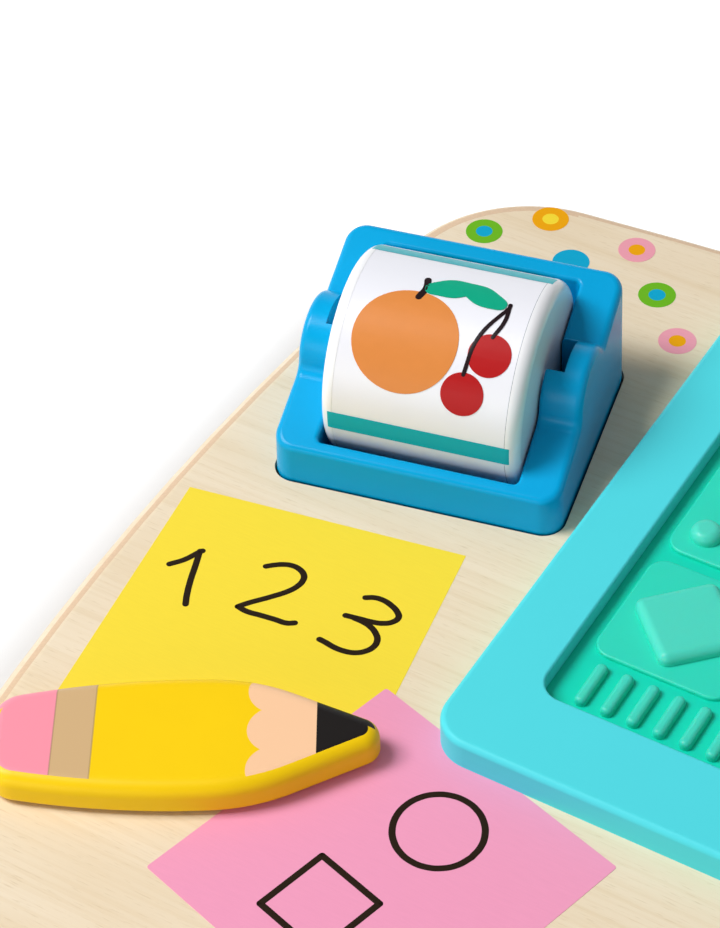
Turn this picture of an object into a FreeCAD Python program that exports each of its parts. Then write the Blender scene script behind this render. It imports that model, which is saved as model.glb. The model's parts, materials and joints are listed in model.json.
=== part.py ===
"""Busy board: a wooden activity board with a picture roller, a textured tablet, a turning pencil,
a clock with two hands, a sliding mouse and three push keys.

Millimetres. The origin is under the middle of the board, at the level of the feet's soles:
+X runs along the board's long side, +Y away from the child, +Z up.
"""
import FreeCAD, Part
import math
import os
import re
import Sketcher
from FreeCAD import Vector

doc = FreeCAD.newDocument("busy_board")

# Driving dimensions: alias, value, what it measures
SIZES = [
    ("board_width", 404.6, "board, left to right at its widest"),
    ("board_depth", 266.4, "board, front to back at its deepest"),
    ("board_thick", 12.0, "plywood thickness"),
    ("side_bow_radius", 678.0, "radius of the bowed left and right edges"),
    ("end_bow_radius", 1591.0, "radius of the bowed front and back edges"),
    ("board_corner", 35.2, "radius of the board's corners seen from above"),
    ("board_round", 5.0, "rounding of the board's top edge"),
    ("board_under_round", 1.5, "rounding of the board's bottom edge"),
    ("foot_height", 3.0, "rubber foot height"),
    ("foot_radius", 7.0, "rubber foot radius"),
    ("foot_inset", 30.0, "rubber foot centre from the board's box, both ways"),
    ("screw_radius", 1.5, "shank radius of every screw"),
    ("screw_head_radius", 2.9, "pan head radius"),
    ("screw_head_height", 1.2, "pan head height"),
    ("screw_hole_gap", 0.05, "screw shank to its hole, radial"),
    ("screw_hole_spare", 0.5, "blind hole beyond the screw's end"),
    ("head_well_gap", 0.7, "screw head to its well in the board, radial"),

    ("roller_from_left", 46.74, "roller case centre from the board's left end"),
    ("roller_from_back", 89.16, "roller case centre from the board's back"),
    ("roller_turn", 12.06, "roller case turned on the board, degrees"),
    ("case_corner", 4.7, "roller case upright corner radius"),
    ("case_draft", 1.2, "draft of the case walls, degrees"),
    ("case_front_height", 9.4, "case height at its front"),
    ("case_back_height", 29.3, "case height at its back"),
    ("case_edge_round", 1.6, "rounding of the case's top edges"),
    ("case_inner_round", 0.9, "rounding of the top edges round the drum opening"),
    ("case_gap", 0.5, "case to the board's cut-out"),
    ("skirt_step", 0.3, "case wall in the cut-out, inside the wall above the board"),
    ("cheek_width", 9.9, "case wall beside the drum"),
    ("front_rim", 3.4, "case wall in front of the drum"),
    ("back_rim", 5.1, "case wall behind the drum"),
    ("opening_corner", 1.2, "upright corner radius of the drum opening"),
    ("flange_margin", 6.8, "case flange beyond the case's front and back walls"),
    ("flange_side_margin", 2.6, "case flange beyond the case's side walls"),
    ("flange_thick", 1.6, "case flange thickness"),
    ("tray_thick", 1.4, "tray thickness"),
    ("rebate_gap", 0.4, "flange to the board's rebate"),
    ("roller_screw_inset", 3.2, "roller screw from the flange's front or back edge"),
    ("roller_screw_side", 24.0, "roller screw from the case's middle, sideways"),
    ("roller_screw_length", 8.0, "roller screw shank length"),
    ("axle_height", 17.0, "axle above the board"),
    ("axle_radius", 2.0, "axle radius"),
    ("axle_reach", 7.2, "axle socket depth in each cheek"),
    ("axle_gap", 0.1, "axle to its seats in the case"),
    ("boss_radius", 10.2, "round hump over the axle"),
    ("boss_shift", 1.0, "hump's middle behind the axle"),
    ("boss_blend", 3.0, "rounding where the hump meets the slope in front of it"),
    ("hub_way_front", 4.0, "hub channel in each cheek, from the axle to its front wall"),
    ("hub_way_back", 9.4, "hub channel, from the axle to its back wall"),
    ("hub_way_depth", 4.3, "depth of that channel in the cheek"),
    ("post_gap", 0.15, "tray post to its slot"),

    ("drum_radius", 23.1, "drum radius over the caps"),
    ("drum_length", 44.4, "drum length over the caps"),
    ("drum_side_gap", 0.4, "drum to the case's cheeks"),
    ("drum_front_gap", 2.15, "drum to the front wall's top"),
    ("drum_back_gap", 0.6, "drum to the back wall"),
    ("drum_wall", 2.2, "barrel wall"),
    ("cap_rim", 2.9, "width of the cap's rim beside the label"),
    ("cap_round", 2.7, "rounding of the cap's outer edge"),
    ("cap_web", 2.2, "cap end wall"),
    ("spigot_length", 4.0, "cap spigot in the barrel"),
    ("spigot_gap", 0.05, "cap spigot to barrel, radial"),
    ("hub_radius", 3.5, "cap hub radius"),
    ("hub_out", 3.9, "hub beyond the cap's face"),
    ("bore_gap", 0.08, "turning bores to their pins, radial"),
    ("label_thick", 0.25, "printed sleeve thickness"),
    ("label_inset", 0.05, "sleeve below the caps' rims, radial"),
    ("label_gap", 0.03, "sleeve to barrel, radial"),

    ("tablet_from_left", 88.9, "tablet frame's left edge from the board's left end"),
    ("tablet_from_back", 23.4, "tablet frame's back edge from the board's back"),
    ("tablet_width", 98.4, "tablet frame width"),
    ("tablet_length", 150.8, "tablet frame length"),
    ("tablet_height", 7.0, "tablet frame height above the board"),
    ("tablet_corner", 8.6, "tablet frame corner radius"),
    ("tablet_round", 1.3, "rounding of the frame's outer top edge"),
    ("bezel_side", 14.5, "frame width at left, right and back"),
    ("bezel_front", 19.5, "frame width at the front"),
    ("window_corner", 5.0, "window corner radius"),
    ("window_round", 0.6, "rounding of the window's top edge"),
    ("lip_reach", 3.0, "lip overlap on the pad"),
    ("pad_gap", 0.1, "pad to frame"),
    ("pad_floor", 3.0, "pad floor above the board"),
    ("tile_size", 30.0, "raised tile, square"),
    ("tile_pitch", 33.3, "tile spacing both ways"),
    ("tile_inset", 3.0, "first tile from the window's left edge"),
    ("tile_front", 17.2, "first tile from the window's front edge"),
    ("tile_height", 1.0, "tile above the pad floor"),
    ("tile_corner", 4.0, "tile corner radius"),
    ("icon_height", 2.6, "icon above the tile"),
    ("icon_reach", 12.9, "icon from its centre to its points"),
    ("icon_bar", 5.0, "width of an icon's bars"),
    ("icon_dot_radius", 3.4, "radius of a round icon dot"),
    ("icon_dot_spread", 8.25, "round dots from the tile's middle, both ways"),
    ("icon_bar_pitch", 8.5, "spacing of an icon's bars"),
    ("icon_round", 2.1, "rounding of the icons' edges"),
    ("rib_count", 10.0, "ribs in front of the tiles"),
    ("rib_pitch", 5.8, "rib spacing"),
    ("rib_width", 2.6, "rib width"),
    ("rib_length", 11.4, "rib length"),
    ("rib_height", 1.9, "rib above the pad floor"),
    ("rib_left", 7.7, "first rib's middle from the window's left edge"),
    ("rib_front", 3.3, "ribs' front ends from the window's front edge"),
    ("tablet_screw_inset", 5.5, "tablet screw from the frame's edge, both ways"),
    ("tablet_screw_bite", 5.0, "tablet screw in the frame"),
    ("tablet_well", 7.0, "depth of the screw wells under the tablet"),

    ("pencil_from_left", 48.7, "pencil pivot from the board's left end"),
    ("pencil_from_front", 67.9, "pencil pivot from the board's front"),
    ("pencil_turn", 30.4, "pencil turned on the board, degrees"),
    ("pencil_thick", 7.4, "pencil thickness"),
    ("pencil_half_width", 14.9, "half of the pencil's width at its middle"),
    ("pencil_back", 39.2, "pivot to the rubber end"),
    ("pencil_tip", 43.7, "pivot to the sharp point, before it is rounded"),
    ("pencil_belly_radius", 170.0, "radius of the pencil's bulging sides"),
    ("pencil_point_slope", 25.9, "half of the point's angle, degrees"),
    ("pencil_tip_radius", 4.2, "rounding of the point"),
    ("pencil_shoulder", 40.0, "rounding where the sides turn to the point"),
    ("pencil_end_radius", 6.9, "rounding of the rubber end's corners"),
    ("pencil_round", 3.0, "rounding of the pencil's top edge"),
    ("pin_radius", 2.5, "pencil pin radius"),
    ("pin_head_radius", 5.5, "pin head radius"),
    ("pin_head_height", 2.0, "pin head height"),
    ("pin_bite", 4.5, "pin in the pencil"),
    ("pin_press_gap", 0.02, "pin to the hole that holds it, radial"),
    ("pin_well", 3.0, "depth of the pin head's well"),
    ("pin_well_gap", 1.0, "pin head to its well, radial"),
    ("washer_radius", 9.0, "washer radius"),
    ("washer_thick", 0.6, "washer thickness"),

    ("clock_from_right", 110.3, "clock centre from the board's right end"),
    ("clock_from_back", 83.2, "clock centre from the board's back"),
    ("dial_radius", 46.0, "clock dial radius"),
    ("dial_thick", 4.0, "clock dial thickness"),
    ("dial_round", 1.2, "rounding of the dial's edge"),
    ("hand_gap", 0.3, "clearance under each hand and the spindle's head"),
    ("hand_thick", 3.0, "hand thickness"),
    ("hand_hub_radius", 7.5, "round middle of each hand"),
    ("hand_round", 0.8, "rounding of the hands' top edges"),
    ("hour_length", 26.0, "hour hand from its pivot"),
    ("hour_width", 9.0, "hour hand width"),
    ("hour_angle", 150.0, "hour hand at rest, degrees from +X"),
    ("minute_length", 38.0, "minute hand from its pivot"),
    ("minute_width", 7.0, "minute hand width"),
    ("minute_angle", 30.0, "minute hand at rest, degrees from +X"),
    ("spindle_head_radius", 6.0, "spindle head radius"),
    ("spindle_head_height", 2.6, "spindle head height"),
    ("spindle_tail", 2.0, "spindle in its well under the board"),
    ("clip_radius", 6.0, "spring clip radius"),
    ("clip_thick", 1.0, "spring clip thickness"),
    ("clip_well", 3.5, "depth of the clip's well"),

    ("mouse_from_right", 50.3, "mouse slot centre from the board's right end"),
    ("mouse_from_front", 75.2, "mouse slot centre from the board's front"),
    ("mouse_travel", 22.0, "mouse travel each way from the middle"),
    ("mouse_length", 52.0, "mouse length along the slot"),
    ("mouse_width", 34.0, "mouse width"),
    ("mouse_height", 15.0, "mouse height"),
    ("mouse_corner", 15.0, "mouse corner radius seen from above"),
    ("mouse_round", 8.0, "rounding of the mouse's top"),
    ("mouse_gap", 0.3, "mouse above the board"),
    ("slot_width", 8.0, "slot in the board"),
    ("guide_gap", 0.3, "guide to the slot, each side"),
    ("guide_length", 14.0, "guide block along the slot"),
    ("guide_bite", 2.5, "guide block set in the mouse"),
    ("shoe_width", 22.0, "guide plate under the board, across the slot"),
    ("shoe_length", 26.0, "guide plate, along the slot"),
    ("shoe_thick", 2.0, "guide plate thickness"),
    ("groove_depth", 4.0, "groove for the guide plate"),
    ("mouse_screw_bite", 6.0, "mouse screw in the mouse"),

    ("keys_from_left", 214.3, "key housing centre from the board's left end"),
    ("keys_from_front", 47.2, "key housing centre from the board's front"),
    ("keys_width", 100.0, "key housing width"),
    ("keys_depth", 36.0, "key housing depth"),
    ("keys_height", 9.0, "key housing height above the board"),
    ("keys_corner", 9.0, "key housing corner radius"),
    ("keys_round", 1.6, "rounding of the key housing's top edge"),
    ("keys_deck", 2.5, "key housing top wall"),
    ("key_count", 3.0, "number of keys"),
    ("key_pitch", 29.0, "key spacing"),
    ("key_radius", 10.0, "key cap radius"),
    ("key_gap", 0.35, "key cap to its hole, radial"),
    ("key_collar", 2.0, "key collar beyond the cap, radial"),
    ("key_collar_thick", 1.4, "key collar thickness"),
    ("key_low", 1.5, "key cap above the housing when it is pressed"),
    ("key_wall", 2.0, "key cap wall"),
    ("key_round", 2.0, "rounding of the key cap's top"),
    ("key_travel", 3.0, "key travel"),
    ("key_play", 0.1, "key collar under the deck"),
    ("spring_radius", 5.6, "key spring outer radius"),
    ("spring_wall", 1.0, "key spring wire, radial"),
    ("keys_screw_x", 43.5, "key housing screw from its centre, across"),
    ("keys_screw_y", 12.5, "key housing screw from its centre, front to back"),
    ("keys_screw_bite", 6.0, "key screw in the housing"),
]

sheet = doc.addObject("Spreadsheet::Sheet", "Sizes")
for row, (alias, number, meaning) in enumerate(SIZES, start=1):
    sheet.set(f"A{row}", meaning)
    sheet.set(f"B{row}", str(number))
    sheet.setAlias(f"B{row}", alias)
doc.recompute()

ALIASES = {alias for alias, _, _ in SIZES}

# Levels and places that several pieces share, as expressions of the sheet's cells
BOARD_TOP = "(foot_height + board_thick)"
ROLLER_X = "(roller_from_left - board_width / 2)"
ROLLER_Y = "(board_depth / 2 - roller_from_back)"
TABLET_X = "(tablet_from_left + tablet_width / 2 - board_width / 2)"
TABLET_Y = "(board_depth / 2 - tablet_from_back - tablet_length / 2)"
PENCIL_X = "(pencil_from_left - board_width / 2)"
PENCIL_Y = "(pencil_from_front - board_depth / 2)"
CLOCK_X = "(board_width / 2 - clock_from_right)"
CLOCK_Y = "(board_depth / 2 - clock_from_back)"
MOUSE_X = "(board_width / 2 - mouse_from_right)"
MOUSE_Y = "(mouse_from_front - board_depth / 2)"
KEYS_X = "(keys_from_left - board_width / 2)"
KEYS_Y = "(keys_from_front - board_depth / 2)"
WINDOW_WIDTH = "(tablet_width - 2 * bezel_side)"
WINDOW_LENGTH = "(tablet_length - bezel_front - bezel_side)"
WINDOW_Y = "((bezel_front - bezel_side) / 2)"
REBATE = "(flange_thick + tray_thick)"
DRUM_AT_RIM = "sqrt(drum_radius ^ 2 - (axle_height - case_front_height) ^ 2)"
LABEL_RADIUS = "(drum_radius - label_inset)"
BARREL_RADIUS = f"({LABEL_RADIUS} - label_thick - label_gap)"
OPENING_WIDTH = "(drum_length + 2 * drum_side_gap)"
OPENING_FRONT = f"({DRUM_AT_RIM} + drum_front_gap)"
OPENING_BACK = "(drum_radius + drum_back_gap)"
CASE_WIDTH = f"({OPENING_WIDTH} + 2 * cheek_width)"
CASE_DEPTH = f"({OPENING_FRONT} + front_rim + {OPENING_BACK} + back_rim)"
OPENING_Y = "((front_rim - back_rim) / 2)"
AXLE_Y = f"(({OPENING_FRONT} + front_rim - {OPENING_BACK} - back_rim) / 2)"
FLANGE_WIDTH = f"({CASE_WIDTH} + 2 * flange_side_margin)"
FLANGE_DEPTH = f"({CASE_DEPTH} + 2 * flange_margin)"
FLANGE_CORNER = "(case_corner + flange_margin)"
TALL = "(board_thick + case_back_height + boss_radius)"
KEY_TOP = "(keys_height + key_low + key_travel)"

# How far a cutting tool runs past the face that it opens
OVER = "1"


def size(alias):
    """The number in the sheet's cell of that alias."""
    return float(sheet.get(alias))


def linked(text):
    """An expression in which each alias is read from the sheet."""
    def named(word):
        return f"Sizes.{word.group()}" if word.group() in ALIASES else word.group()
    return re.sub(r"[a-z_]+", named, text)


def bind(obj, **properties):
    """Bind properties of an object to expressions of the sheet's cells."""
    for name, text in properties.items():
        obj.setExpression(name, linked(text))
    return obj


def place(obj, x="0", y="0", z="0", turn=None):
    """Bind an object's place, and its turn about +Z in degrees."""
    obj.setExpression("Placement.Base.x", linked(x))
    obj.setExpression("Placement.Base.y", linked(y))
    obj.setExpression("Placement.Base.z", linked(z))
    if turn:
        obj.Placement.Rotation = FreeCAD.Rotation(Vector(0, 0, 1), 1)
        obj.setExpression("Placement.Rotation.Angle", linked(turn))
    return obj


def box(name, length, width, height, x="0", y="0", z="0"):
    """A box centred on x and y, standing on z."""
    obj = doc.addObject("Part::Box", name)
    bind(obj, Length=length, Width=width, Height=height)
    return place(obj, f"{x} - ({length}) / 2", f"{y} - ({width}) / 2", z)


def cylinder(name, radius, height, x="0", y="0", z="0"):
    """An upright cylinder standing on z."""
    obj = doc.addObject("Part::Cylinder", name)
    bind(obj, Radius=radius, Height=height)
    return place(obj, x, y, z)


def bar(name, radius, length, y, z):
    """A cylinder lying along X, centred on x = 0."""
    obj = doc.addObject("Part::Cylinder", name)
    bind(obj, Radius=radius, Height=length)
    obj.Placement.Rotation = FreeCAD.Rotation(Vector(0, 1, 0), 90)
    return place(obj, f"-({length}) / 2", y, z)


def fuse(name, *shapes):
    """The union of several objects."""
    obj = doc.addObject("Part::MultiFuse", name)
    obj.Shapes = list(shapes)
    return obj


def common(name, *shapes):
    """What several objects have in common."""
    obj = doc.addObject("Part::MultiCommon", name)
    obj.Shapes = list(shapes)
    return obj


def cut(name, base, tool):
    """The base without the tool."""
    obj = doc.addObject("Part::Cut", name)
    obj.Base = base
    obj.Tool = tool
    return obj


def group(name, *shapes):
    """Separate solids kept together in one sub-part."""
    obj = doc.addObject("Part::Compound", name)
    obj.Links = list(shapes)
    return obj


def rounded(name, base, *choices):
    """The base with edges rounded: each choice is a radius and a test that picks edges."""
    doc.recompute()
    edges = []
    for radius, wanted in choices:
        for number, edge in enumerate(base.Shape.Edges, start=1):
            if wanted(edge):
                edges.append((number, radius, radius))
    if not edges:
        raise ValueError(f"{name}: no edge to round")
    obj = doc.addObject("Part::Fillet", name)
    obj.Base = base
    obj.Edges = edges
    return obj


def upright(edge):
    """True for a straight edge that stands up, or leans by the draft at most."""
    start, end = (vertex.Point for vertex in (edge.Vertexes[0], edge.Vertexes[-1]))
    run = end - start
    return run.Length > 0.5 and abs(run.z) > 0.98 * run.Length


def level(height, tolerance=0.01):
    """A test for edges that lie flat at a height."""
    def wanted(edge):
        return abs(edge.BoundBox.ZMin - height) < tolerance and abs(edge.BoundBox.ZMax - height) < tolerance
    return wanted


def within(edge, room, directions):
    """True for an edge that lies within a bounding box, as seen along the named directions."""
    where = edge.BoundBox
    slack = 0.01
    return all(getattr(where, f"{way}Min") > getattr(room, f"{way}Min") - slack
               and getattr(where, f"{way}Max") < getattr(room, f"{way}Max") + slack for way in directions)


def origin_plane(body, role):
    """One of the body's own origin planes."""
    return [item for item in body.Origin.OriginFeatures if item.Role == role][0]


def polygon_sketch(body, role, name, corners):
    """A closed outline on an origin plane, each corner held by two bound distances."""
    sketch = body.newObject("Sketcher::SketchObject", name)
    sketch.AttachmentSupport = [(origin_plane(body, role), "")]
    sketch.MapMode = "FlatFace"
    count = len(corners)
    angles = [2 * math.pi * i / count for i in range(count)]
    ring = [Vector(math.cos(angle), math.sin(angle), 0) for angle in angles]
    for i in range(count):
        sketch.addGeometry(Part.LineSegment(ring[i], ring[(i + 1) % count]), False)
    for i in range(count):
        sketch.addConstraint(Sketcher.Constraint("Coincident", i, 2, (i + 1) % count, 1))
    for i, corner in enumerate(corners):
        for kind, tag, text in (("DistanceX", "x", corner[0]), ("DistanceY", "y", corner[1])):
            number = sketch.addConstraint(Sketcher.Constraint(kind, -1, 1, i, 1, 1.0))
            sketch.renameConstraint(number, f"{tag}{i}")
            sketch.setExpression(f"Constraints.{tag}{i}", linked(text))
    return sketch


def rectangle_corners(width, depth):
    """Corners of a rectangle centred on the origin."""
    return [(f"-({width}) / 2", f"-({depth}) / 2"), (f"({width}) / 2", f"-({depth}) / 2"),
            (f"({width}) / 2", f"({depth}) / 2"), (f"-({width}) / 2", f"({depth}) / 2")]


def block_body(name, width, depth, height, corner, taper=None):
    """A padded rectangle with rounded upright edges, centred on the origin and standing on it."""
    body = doc.addObject("PartDesign::Body", name)
    sketch = polygon_sketch(body, "XY_Plane", f"{name}_outline", rectangle_corners(width, depth))
    pad = body.newObject("PartDesign::Pad", f"{name}_pad")
    pad.Profile = sketch
    bind(pad, Length=height)
    if taper:
        bind(pad, TaperAngle=f"-{taper}")
    doc.recompute()
    names = [f"Edge{number}" for number, edge in enumerate(pad.Shape.Edges, start=1) if upright(edge)]
    fillet = body.newObject("PartDesign::Fillet", f"{name}_corners")
    fillet.Base = (pad, names)
    bind(fillet, Radius=corner)
    return body


def turned_body(name, corners):
    """A sub-part turned about Z: the outline gives radius and height."""
    body = doc.addObject("PartDesign::Body", name)
    sketch = polygon_sketch(body, "XZ_Plane", f"{name}_outline", corners)
    turn = body.newObject("PartDesign::Revolution", f"{name}_turn")
    turn.Profile = sketch
    turn.ReferenceAxis = (sketch, ["V_Axis"])
    turn.Angle = 360
    return body


def round_edge(body, name, radius, wanted):
    """Round edges of a body's last feature."""
    doc.recompute()
    base = body.Tip
    names = [f"Edge{number}" for number, edge in enumerate(base.Shape.Edges, start=1) if wanted(edge)]
    fillet = body.newObject("PartDesign::Fillet", name)
    fillet.Base = (base, names)
    bind(fillet, Radius=radius)
    return body


def screw(name, x, y, seat, length):
    """A pan head screw from below: the head hangs under the seat, the shank rises from it."""
    corners = [("0", "-screw_head_height"), ("screw_head_radius * 0.75", "-screw_head_height"),
               ("screw_head_radius", "-screw_head_height * 0.4"), ("screw_head_radius", "0"),
               ("screw_radius", "0"), ("screw_radius", f"({length}) - screw_radius"), ("0", length)]
    return place(turned_body(name, corners), x, y, seat)


def screw_hole(name, x, y, bottom, length):
    """A pilot hole that takes a screw's shank."""
    return cylinder(name, "screw_radius + screw_hole_gap", length, x, y, bottom)


def screw_well(name, x, y, depth):
    """A hole and a well in the board for a screw from below."""
    hole = screw_hole(f"{name}_hole", x, y, "0", f"{BOARD_TOP} + {OVER}")
    well = cylinder(f"{name}_well", "screw_head_radius + head_well_gap", f"foot_height + {depth}", x, y)
    return fuse(name, hole, well)


parts = {}


def keep(name, obj):
    """Enter an object as a sub-part under its own name."""
    obj.Label = name
    parts[name] = obj
    return obj


# Roller: everything is built about the case centre, with z = 0 at the board's top, then turned and placed
def on_roller(obj):
    """Put a piece built about the case centre in its place on the board."""
    return place(obj, ROLLER_X, ROLLER_Y, BOARD_TOP, "roller_turn")


def roller_screw_places():
    """The four roller screws about the case centre."""
    x = "roller_screw_side"
    y = f"({FLANGE_DEPTH} / 2 - roller_screw_inset)"
    return [(f"{side} * {x}", f"{end} * {y}") for side in ("-1", "1") for end in ("-1", "1")]


def make_roller_housing():
    """Case: a wedge with drafted walls and a round hump over the axle, open for the drum."""
    blank = block_body("case_blank", CASE_WIDTH, CASE_DEPTH, TALL, "case_corner", "case_draft")
    wedge_body = doc.addObject("PartDesign::Body", "case_wedge")
    wedge_sketch = polygon_sketch(wedge_body, "YZ_Plane", "case_wedge_outline", [
        (f"-{CASE_DEPTH} / 2", "0"), (f"{CASE_DEPTH} / 2", "0"),
        (f"{CASE_DEPTH} / 2", "case_back_height"), (f"-{CASE_DEPTH} / 2", "case_front_height")])
    wedge = wedge_body.newObject("PartDesign::Pad", "case_wedge_pad")
    wedge.Profile = wedge_sketch
    wedge.Midplane = True
    bind(wedge, Length=CASE_WIDTH)
    hump = bar("case_hump", "boss_radius", CASE_WIDTH, f"{AXLE_Y} + boss_shift", "axle_height")
    outside = common("case_outside", blank, fuse("case_side_form", wedge_body, hump))

    def joins_hump(edge):
        where = edge.BoundBox
        across = where.YLength < 0.01 and where.ZLength < 0.01 and where.XLength > size("drum_length")
        near_hump = within(edge, hump.Shape.BoundBox, "Y")
        return across and near_hump and where.ZMin > size("case_front_height") + 1

    def before_hump(edge):
        return joins_hump(edge) and edge.BoundBox.YMin < hump.Shape.BoundBox.Center.y

    def behind_hump(edge):
        return joins_hump(edge) and not before_hump(edge)

    def tops_case(edge):
        where = edge.BoundBox
        along_x = where.YLength < 0.01 and where.ZLength < 0.01
        on_slope = along_x and abs(where.YMin - hump.Shape.BoundBox.Center.y) < size("boss_radius") + 2 * size("boss_blend")
        return where.ZMin > size("case_front_height") / 2 and not upright(edge) and not on_slope
    smooth = rounded("case_smooth", outside, (size("boss_blend"), before_hump),
                     (size("case_edge_round") * 0.6, behind_hump))
    soft = rounded("case_soft", smooth, (size("case_edge_round"), tops_case))
    mouth = block_body("case_mouth", OPENING_WIDTH, f"{OPENING_FRONT} + {OPENING_BACK}", TALL,
                       "opening_corner")
    place(mouth, y=OPENING_Y, z="-board_thick")
    open_case = cut("case_open", soft, mouth)

    def rims_mouth(edge):
        inside = within(edge, mouth.Shape.BoundBox, "XY")
        return inside and edge.BoundBox.ZMin > size("case_front_height") / 2 and not upright(edge)
    lipped = rounded("case_lipped", open_case, (size("case_inner_round"), rims_mouth))
    skirt = block_body("case_skirt", f"{CASE_WIDTH} - 2 * skirt_step", f"{CASE_DEPTH} - 2 * skirt_step",
                       f"board_thick - {REBATE}", "case_corner - skirt_step")
    place(skirt, z=f"{REBATE} - board_thick")
    flange = block_body("case_flange", FLANGE_WIDTH, FLANGE_DEPTH, "flange_thick", FLANGE_CORNER)
    place(flange, z="tray_thick - board_thick")
    cuts = [mouth]
    cuts.append(box("hub_way", f"{OPENING_WIDTH} + 2 * hub_way_depth", "hub_way_front + hub_way_back",
                    f"2 * {TALL}", "0", f"{AXLE_Y} + (hub_way_back - hub_way_front) / 2", "-board_thick"))
    axle_span = f"{OPENING_WIDTH} + 2 * axle_reach"
    cuts.append(bar("axle_seat", "axle_radius + axle_gap", axle_span, AXLE_Y, "axle_height"))
    cuts.append(box("axle_way", axle_span, "2 * (axle_radius + axle_gap)", "axle_height + board_thick",
                    "0", AXLE_Y, "-board_thick"))
    for number, (x, y) in enumerate(roller_screw_places(), start=1):
        cuts.append(screw_hole(f"flange_hole_{number}", x, y, "-board_thick", "board_thick"))
    return cut("case_cut", fuse("case_solid", lipped, skirt, flange), fuse("case_cuts", *cuts))


def make_roller_tray():
    """Back plate under the flange, with two posts that hold the axle up from below."""
    plate = block_body("tray_plate", FLANGE_WIDTH, FLANGE_DEPTH, "tray_thick", FLANGE_CORNER)
    place(plate, z="-board_thick")
    middle = f"({OPENING_WIDTH} / 2 + (hub_way_depth + axle_reach) / 2)"
    posts = [box(f"tray_post_{side}", "axle_reach - hub_way_depth - 2 * post_gap",
                 "2 * (axle_radius + axle_gap - post_gap)",
                 "board_thick - tray_thick + axle_height - axle_radius - axle_gap / 2",
                 f"{sign} * {middle}", AXLE_Y, "tray_thick - board_thick")
             for side, sign in (("left", "-1"), ("right", "1"))]
    holes = [screw_hole(f"tray_hole_{number}", x, y, f"-board_thick - {OVER}", f"tray_thick + 2 * {OVER}")
             for number, (x, y) in enumerate(roller_screw_places(), start=1)]
    return cut("tray_cut", fuse("tray_solid", plate, *posts), fuse("tray_holes", *holes))


def make_roller_screws():
    """Four screws from below through tray and flange into the board."""
    screws = [screw(f"roller_screw_{number}", x, y, "-board_thick", "roller_screw_length")
              for number, (x, y) in enumerate(roller_screw_places(), start=1)]
    return group("roller_screw_set", *screws)


def cap_corners(side):
    """Outline of a drum cap: distance from the drum's middle along the axle, and radius."""
    face = "drum_length / 2"
    rim = "(drum_length / 2 - cap_rim)"
    barrel_bore = f"({BARREL_RADIUS} - drum_wall)"
    inner = f"{rim} - spigot_length"
    web = f"{face} - cap_web"
    bore = "axle_radius + bore_gap"
    points = [(inner, bore), (inner, "hub_radius"), (web, "hub_radius"), (web, f"{barrel_bore} - drum_wall"),
              (inner, f"{barrel_bore} - drum_wall"), (inner, f"{barrel_bore} - spigot_gap"),
              (rim, f"{barrel_bore} - spigot_gap"), (rim, "drum_radius"), (face, "drum_radius"),
              (face, "hub_radius"), (f"{face} + hub_out", "hub_radius"), (f"{face} + hub_out", bore)]
    return [(f"{side} * ({along})", radius) for along, radius in points]


def lathe_body(name, corners):
    """A sub-part turned about the axle: the outline gives place along X and radius."""
    body = doc.addObject("PartDesign::Body", name)
    sketch = polygon_sketch(body, "XZ_Plane", f"{name}_outline", corners)
    turn = body.newObject("PartDesign::Revolution", f"{name}_turn")
    turn.Profile = sketch
    turn.ReferenceAxis = (sketch, ["H_Axis"])
    turn.Angle = 360
    return place(body, y=AXLE_Y, z="axle_height")


def make_cap(name, side):
    """Drum end cap: spigot, rim, end wall and hub, with a soft outer edge."""
    body = lathe_body(name, cap_corners(side))
    face = size("drum_length") / 2

    def outer_edge(edge):
        where = edge.BoundBox
        on_face = abs(abs(where.XMin) - face) < 0.01 and where.XLength < 0.01
        return on_face and where.ZLength > size("drum_radius")
    return round_edge(body, f"{name}_round", "cap_round", outer_edge)


def tube_corners(length, inner, outer):
    """Outline of a tube about the axle."""
    return [(f"-({length}) / 2", inner), (f"({length}) / 2", inner),
            (f"({length}) / 2", outer), (f"-({length}) / 2", outer)]


def make_roller():
    """Case, tray, screws, axle and the four pieces of the drum."""
    keep("roller_housing", on_roller(make_roller_housing()))
    keep("roller_tray", on_roller(make_roller_tray()))
    keep("roller_screws", on_roller(make_roller_screws()))
    axle_length = f"{OPENING_WIDTH} + 2 * (axle_reach - post_gap)"
    axle = bar("axle_rod", "axle_radius", axle_length, AXLE_Y, "axle_height")
    keep("roller_axle", on_roller(group("axle_set", axle)))
    between = "(drum_length - 2 * cap_rim)"
    barrel = lathe_body("barrel", tube_corners(between, f"{BARREL_RADIUS} - drum_wall", BARREL_RADIUS))
    keep("roller_barrel", on_roller(group("barrel_set", barrel)))
    keep("roller_cap_left", on_roller(group("cap_left_set", make_cap("cap_left", "-1"))))
    keep("roller_cap_right", on_roller(group("cap_right_set", make_cap("cap_right", "1"))))
    label = lathe_body("label", tube_corners(between, f"{LABEL_RADIUS} - label_thick", LABEL_RADIUS))
    keep("roller_label", on_roller(group("label_set", label)))


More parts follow.
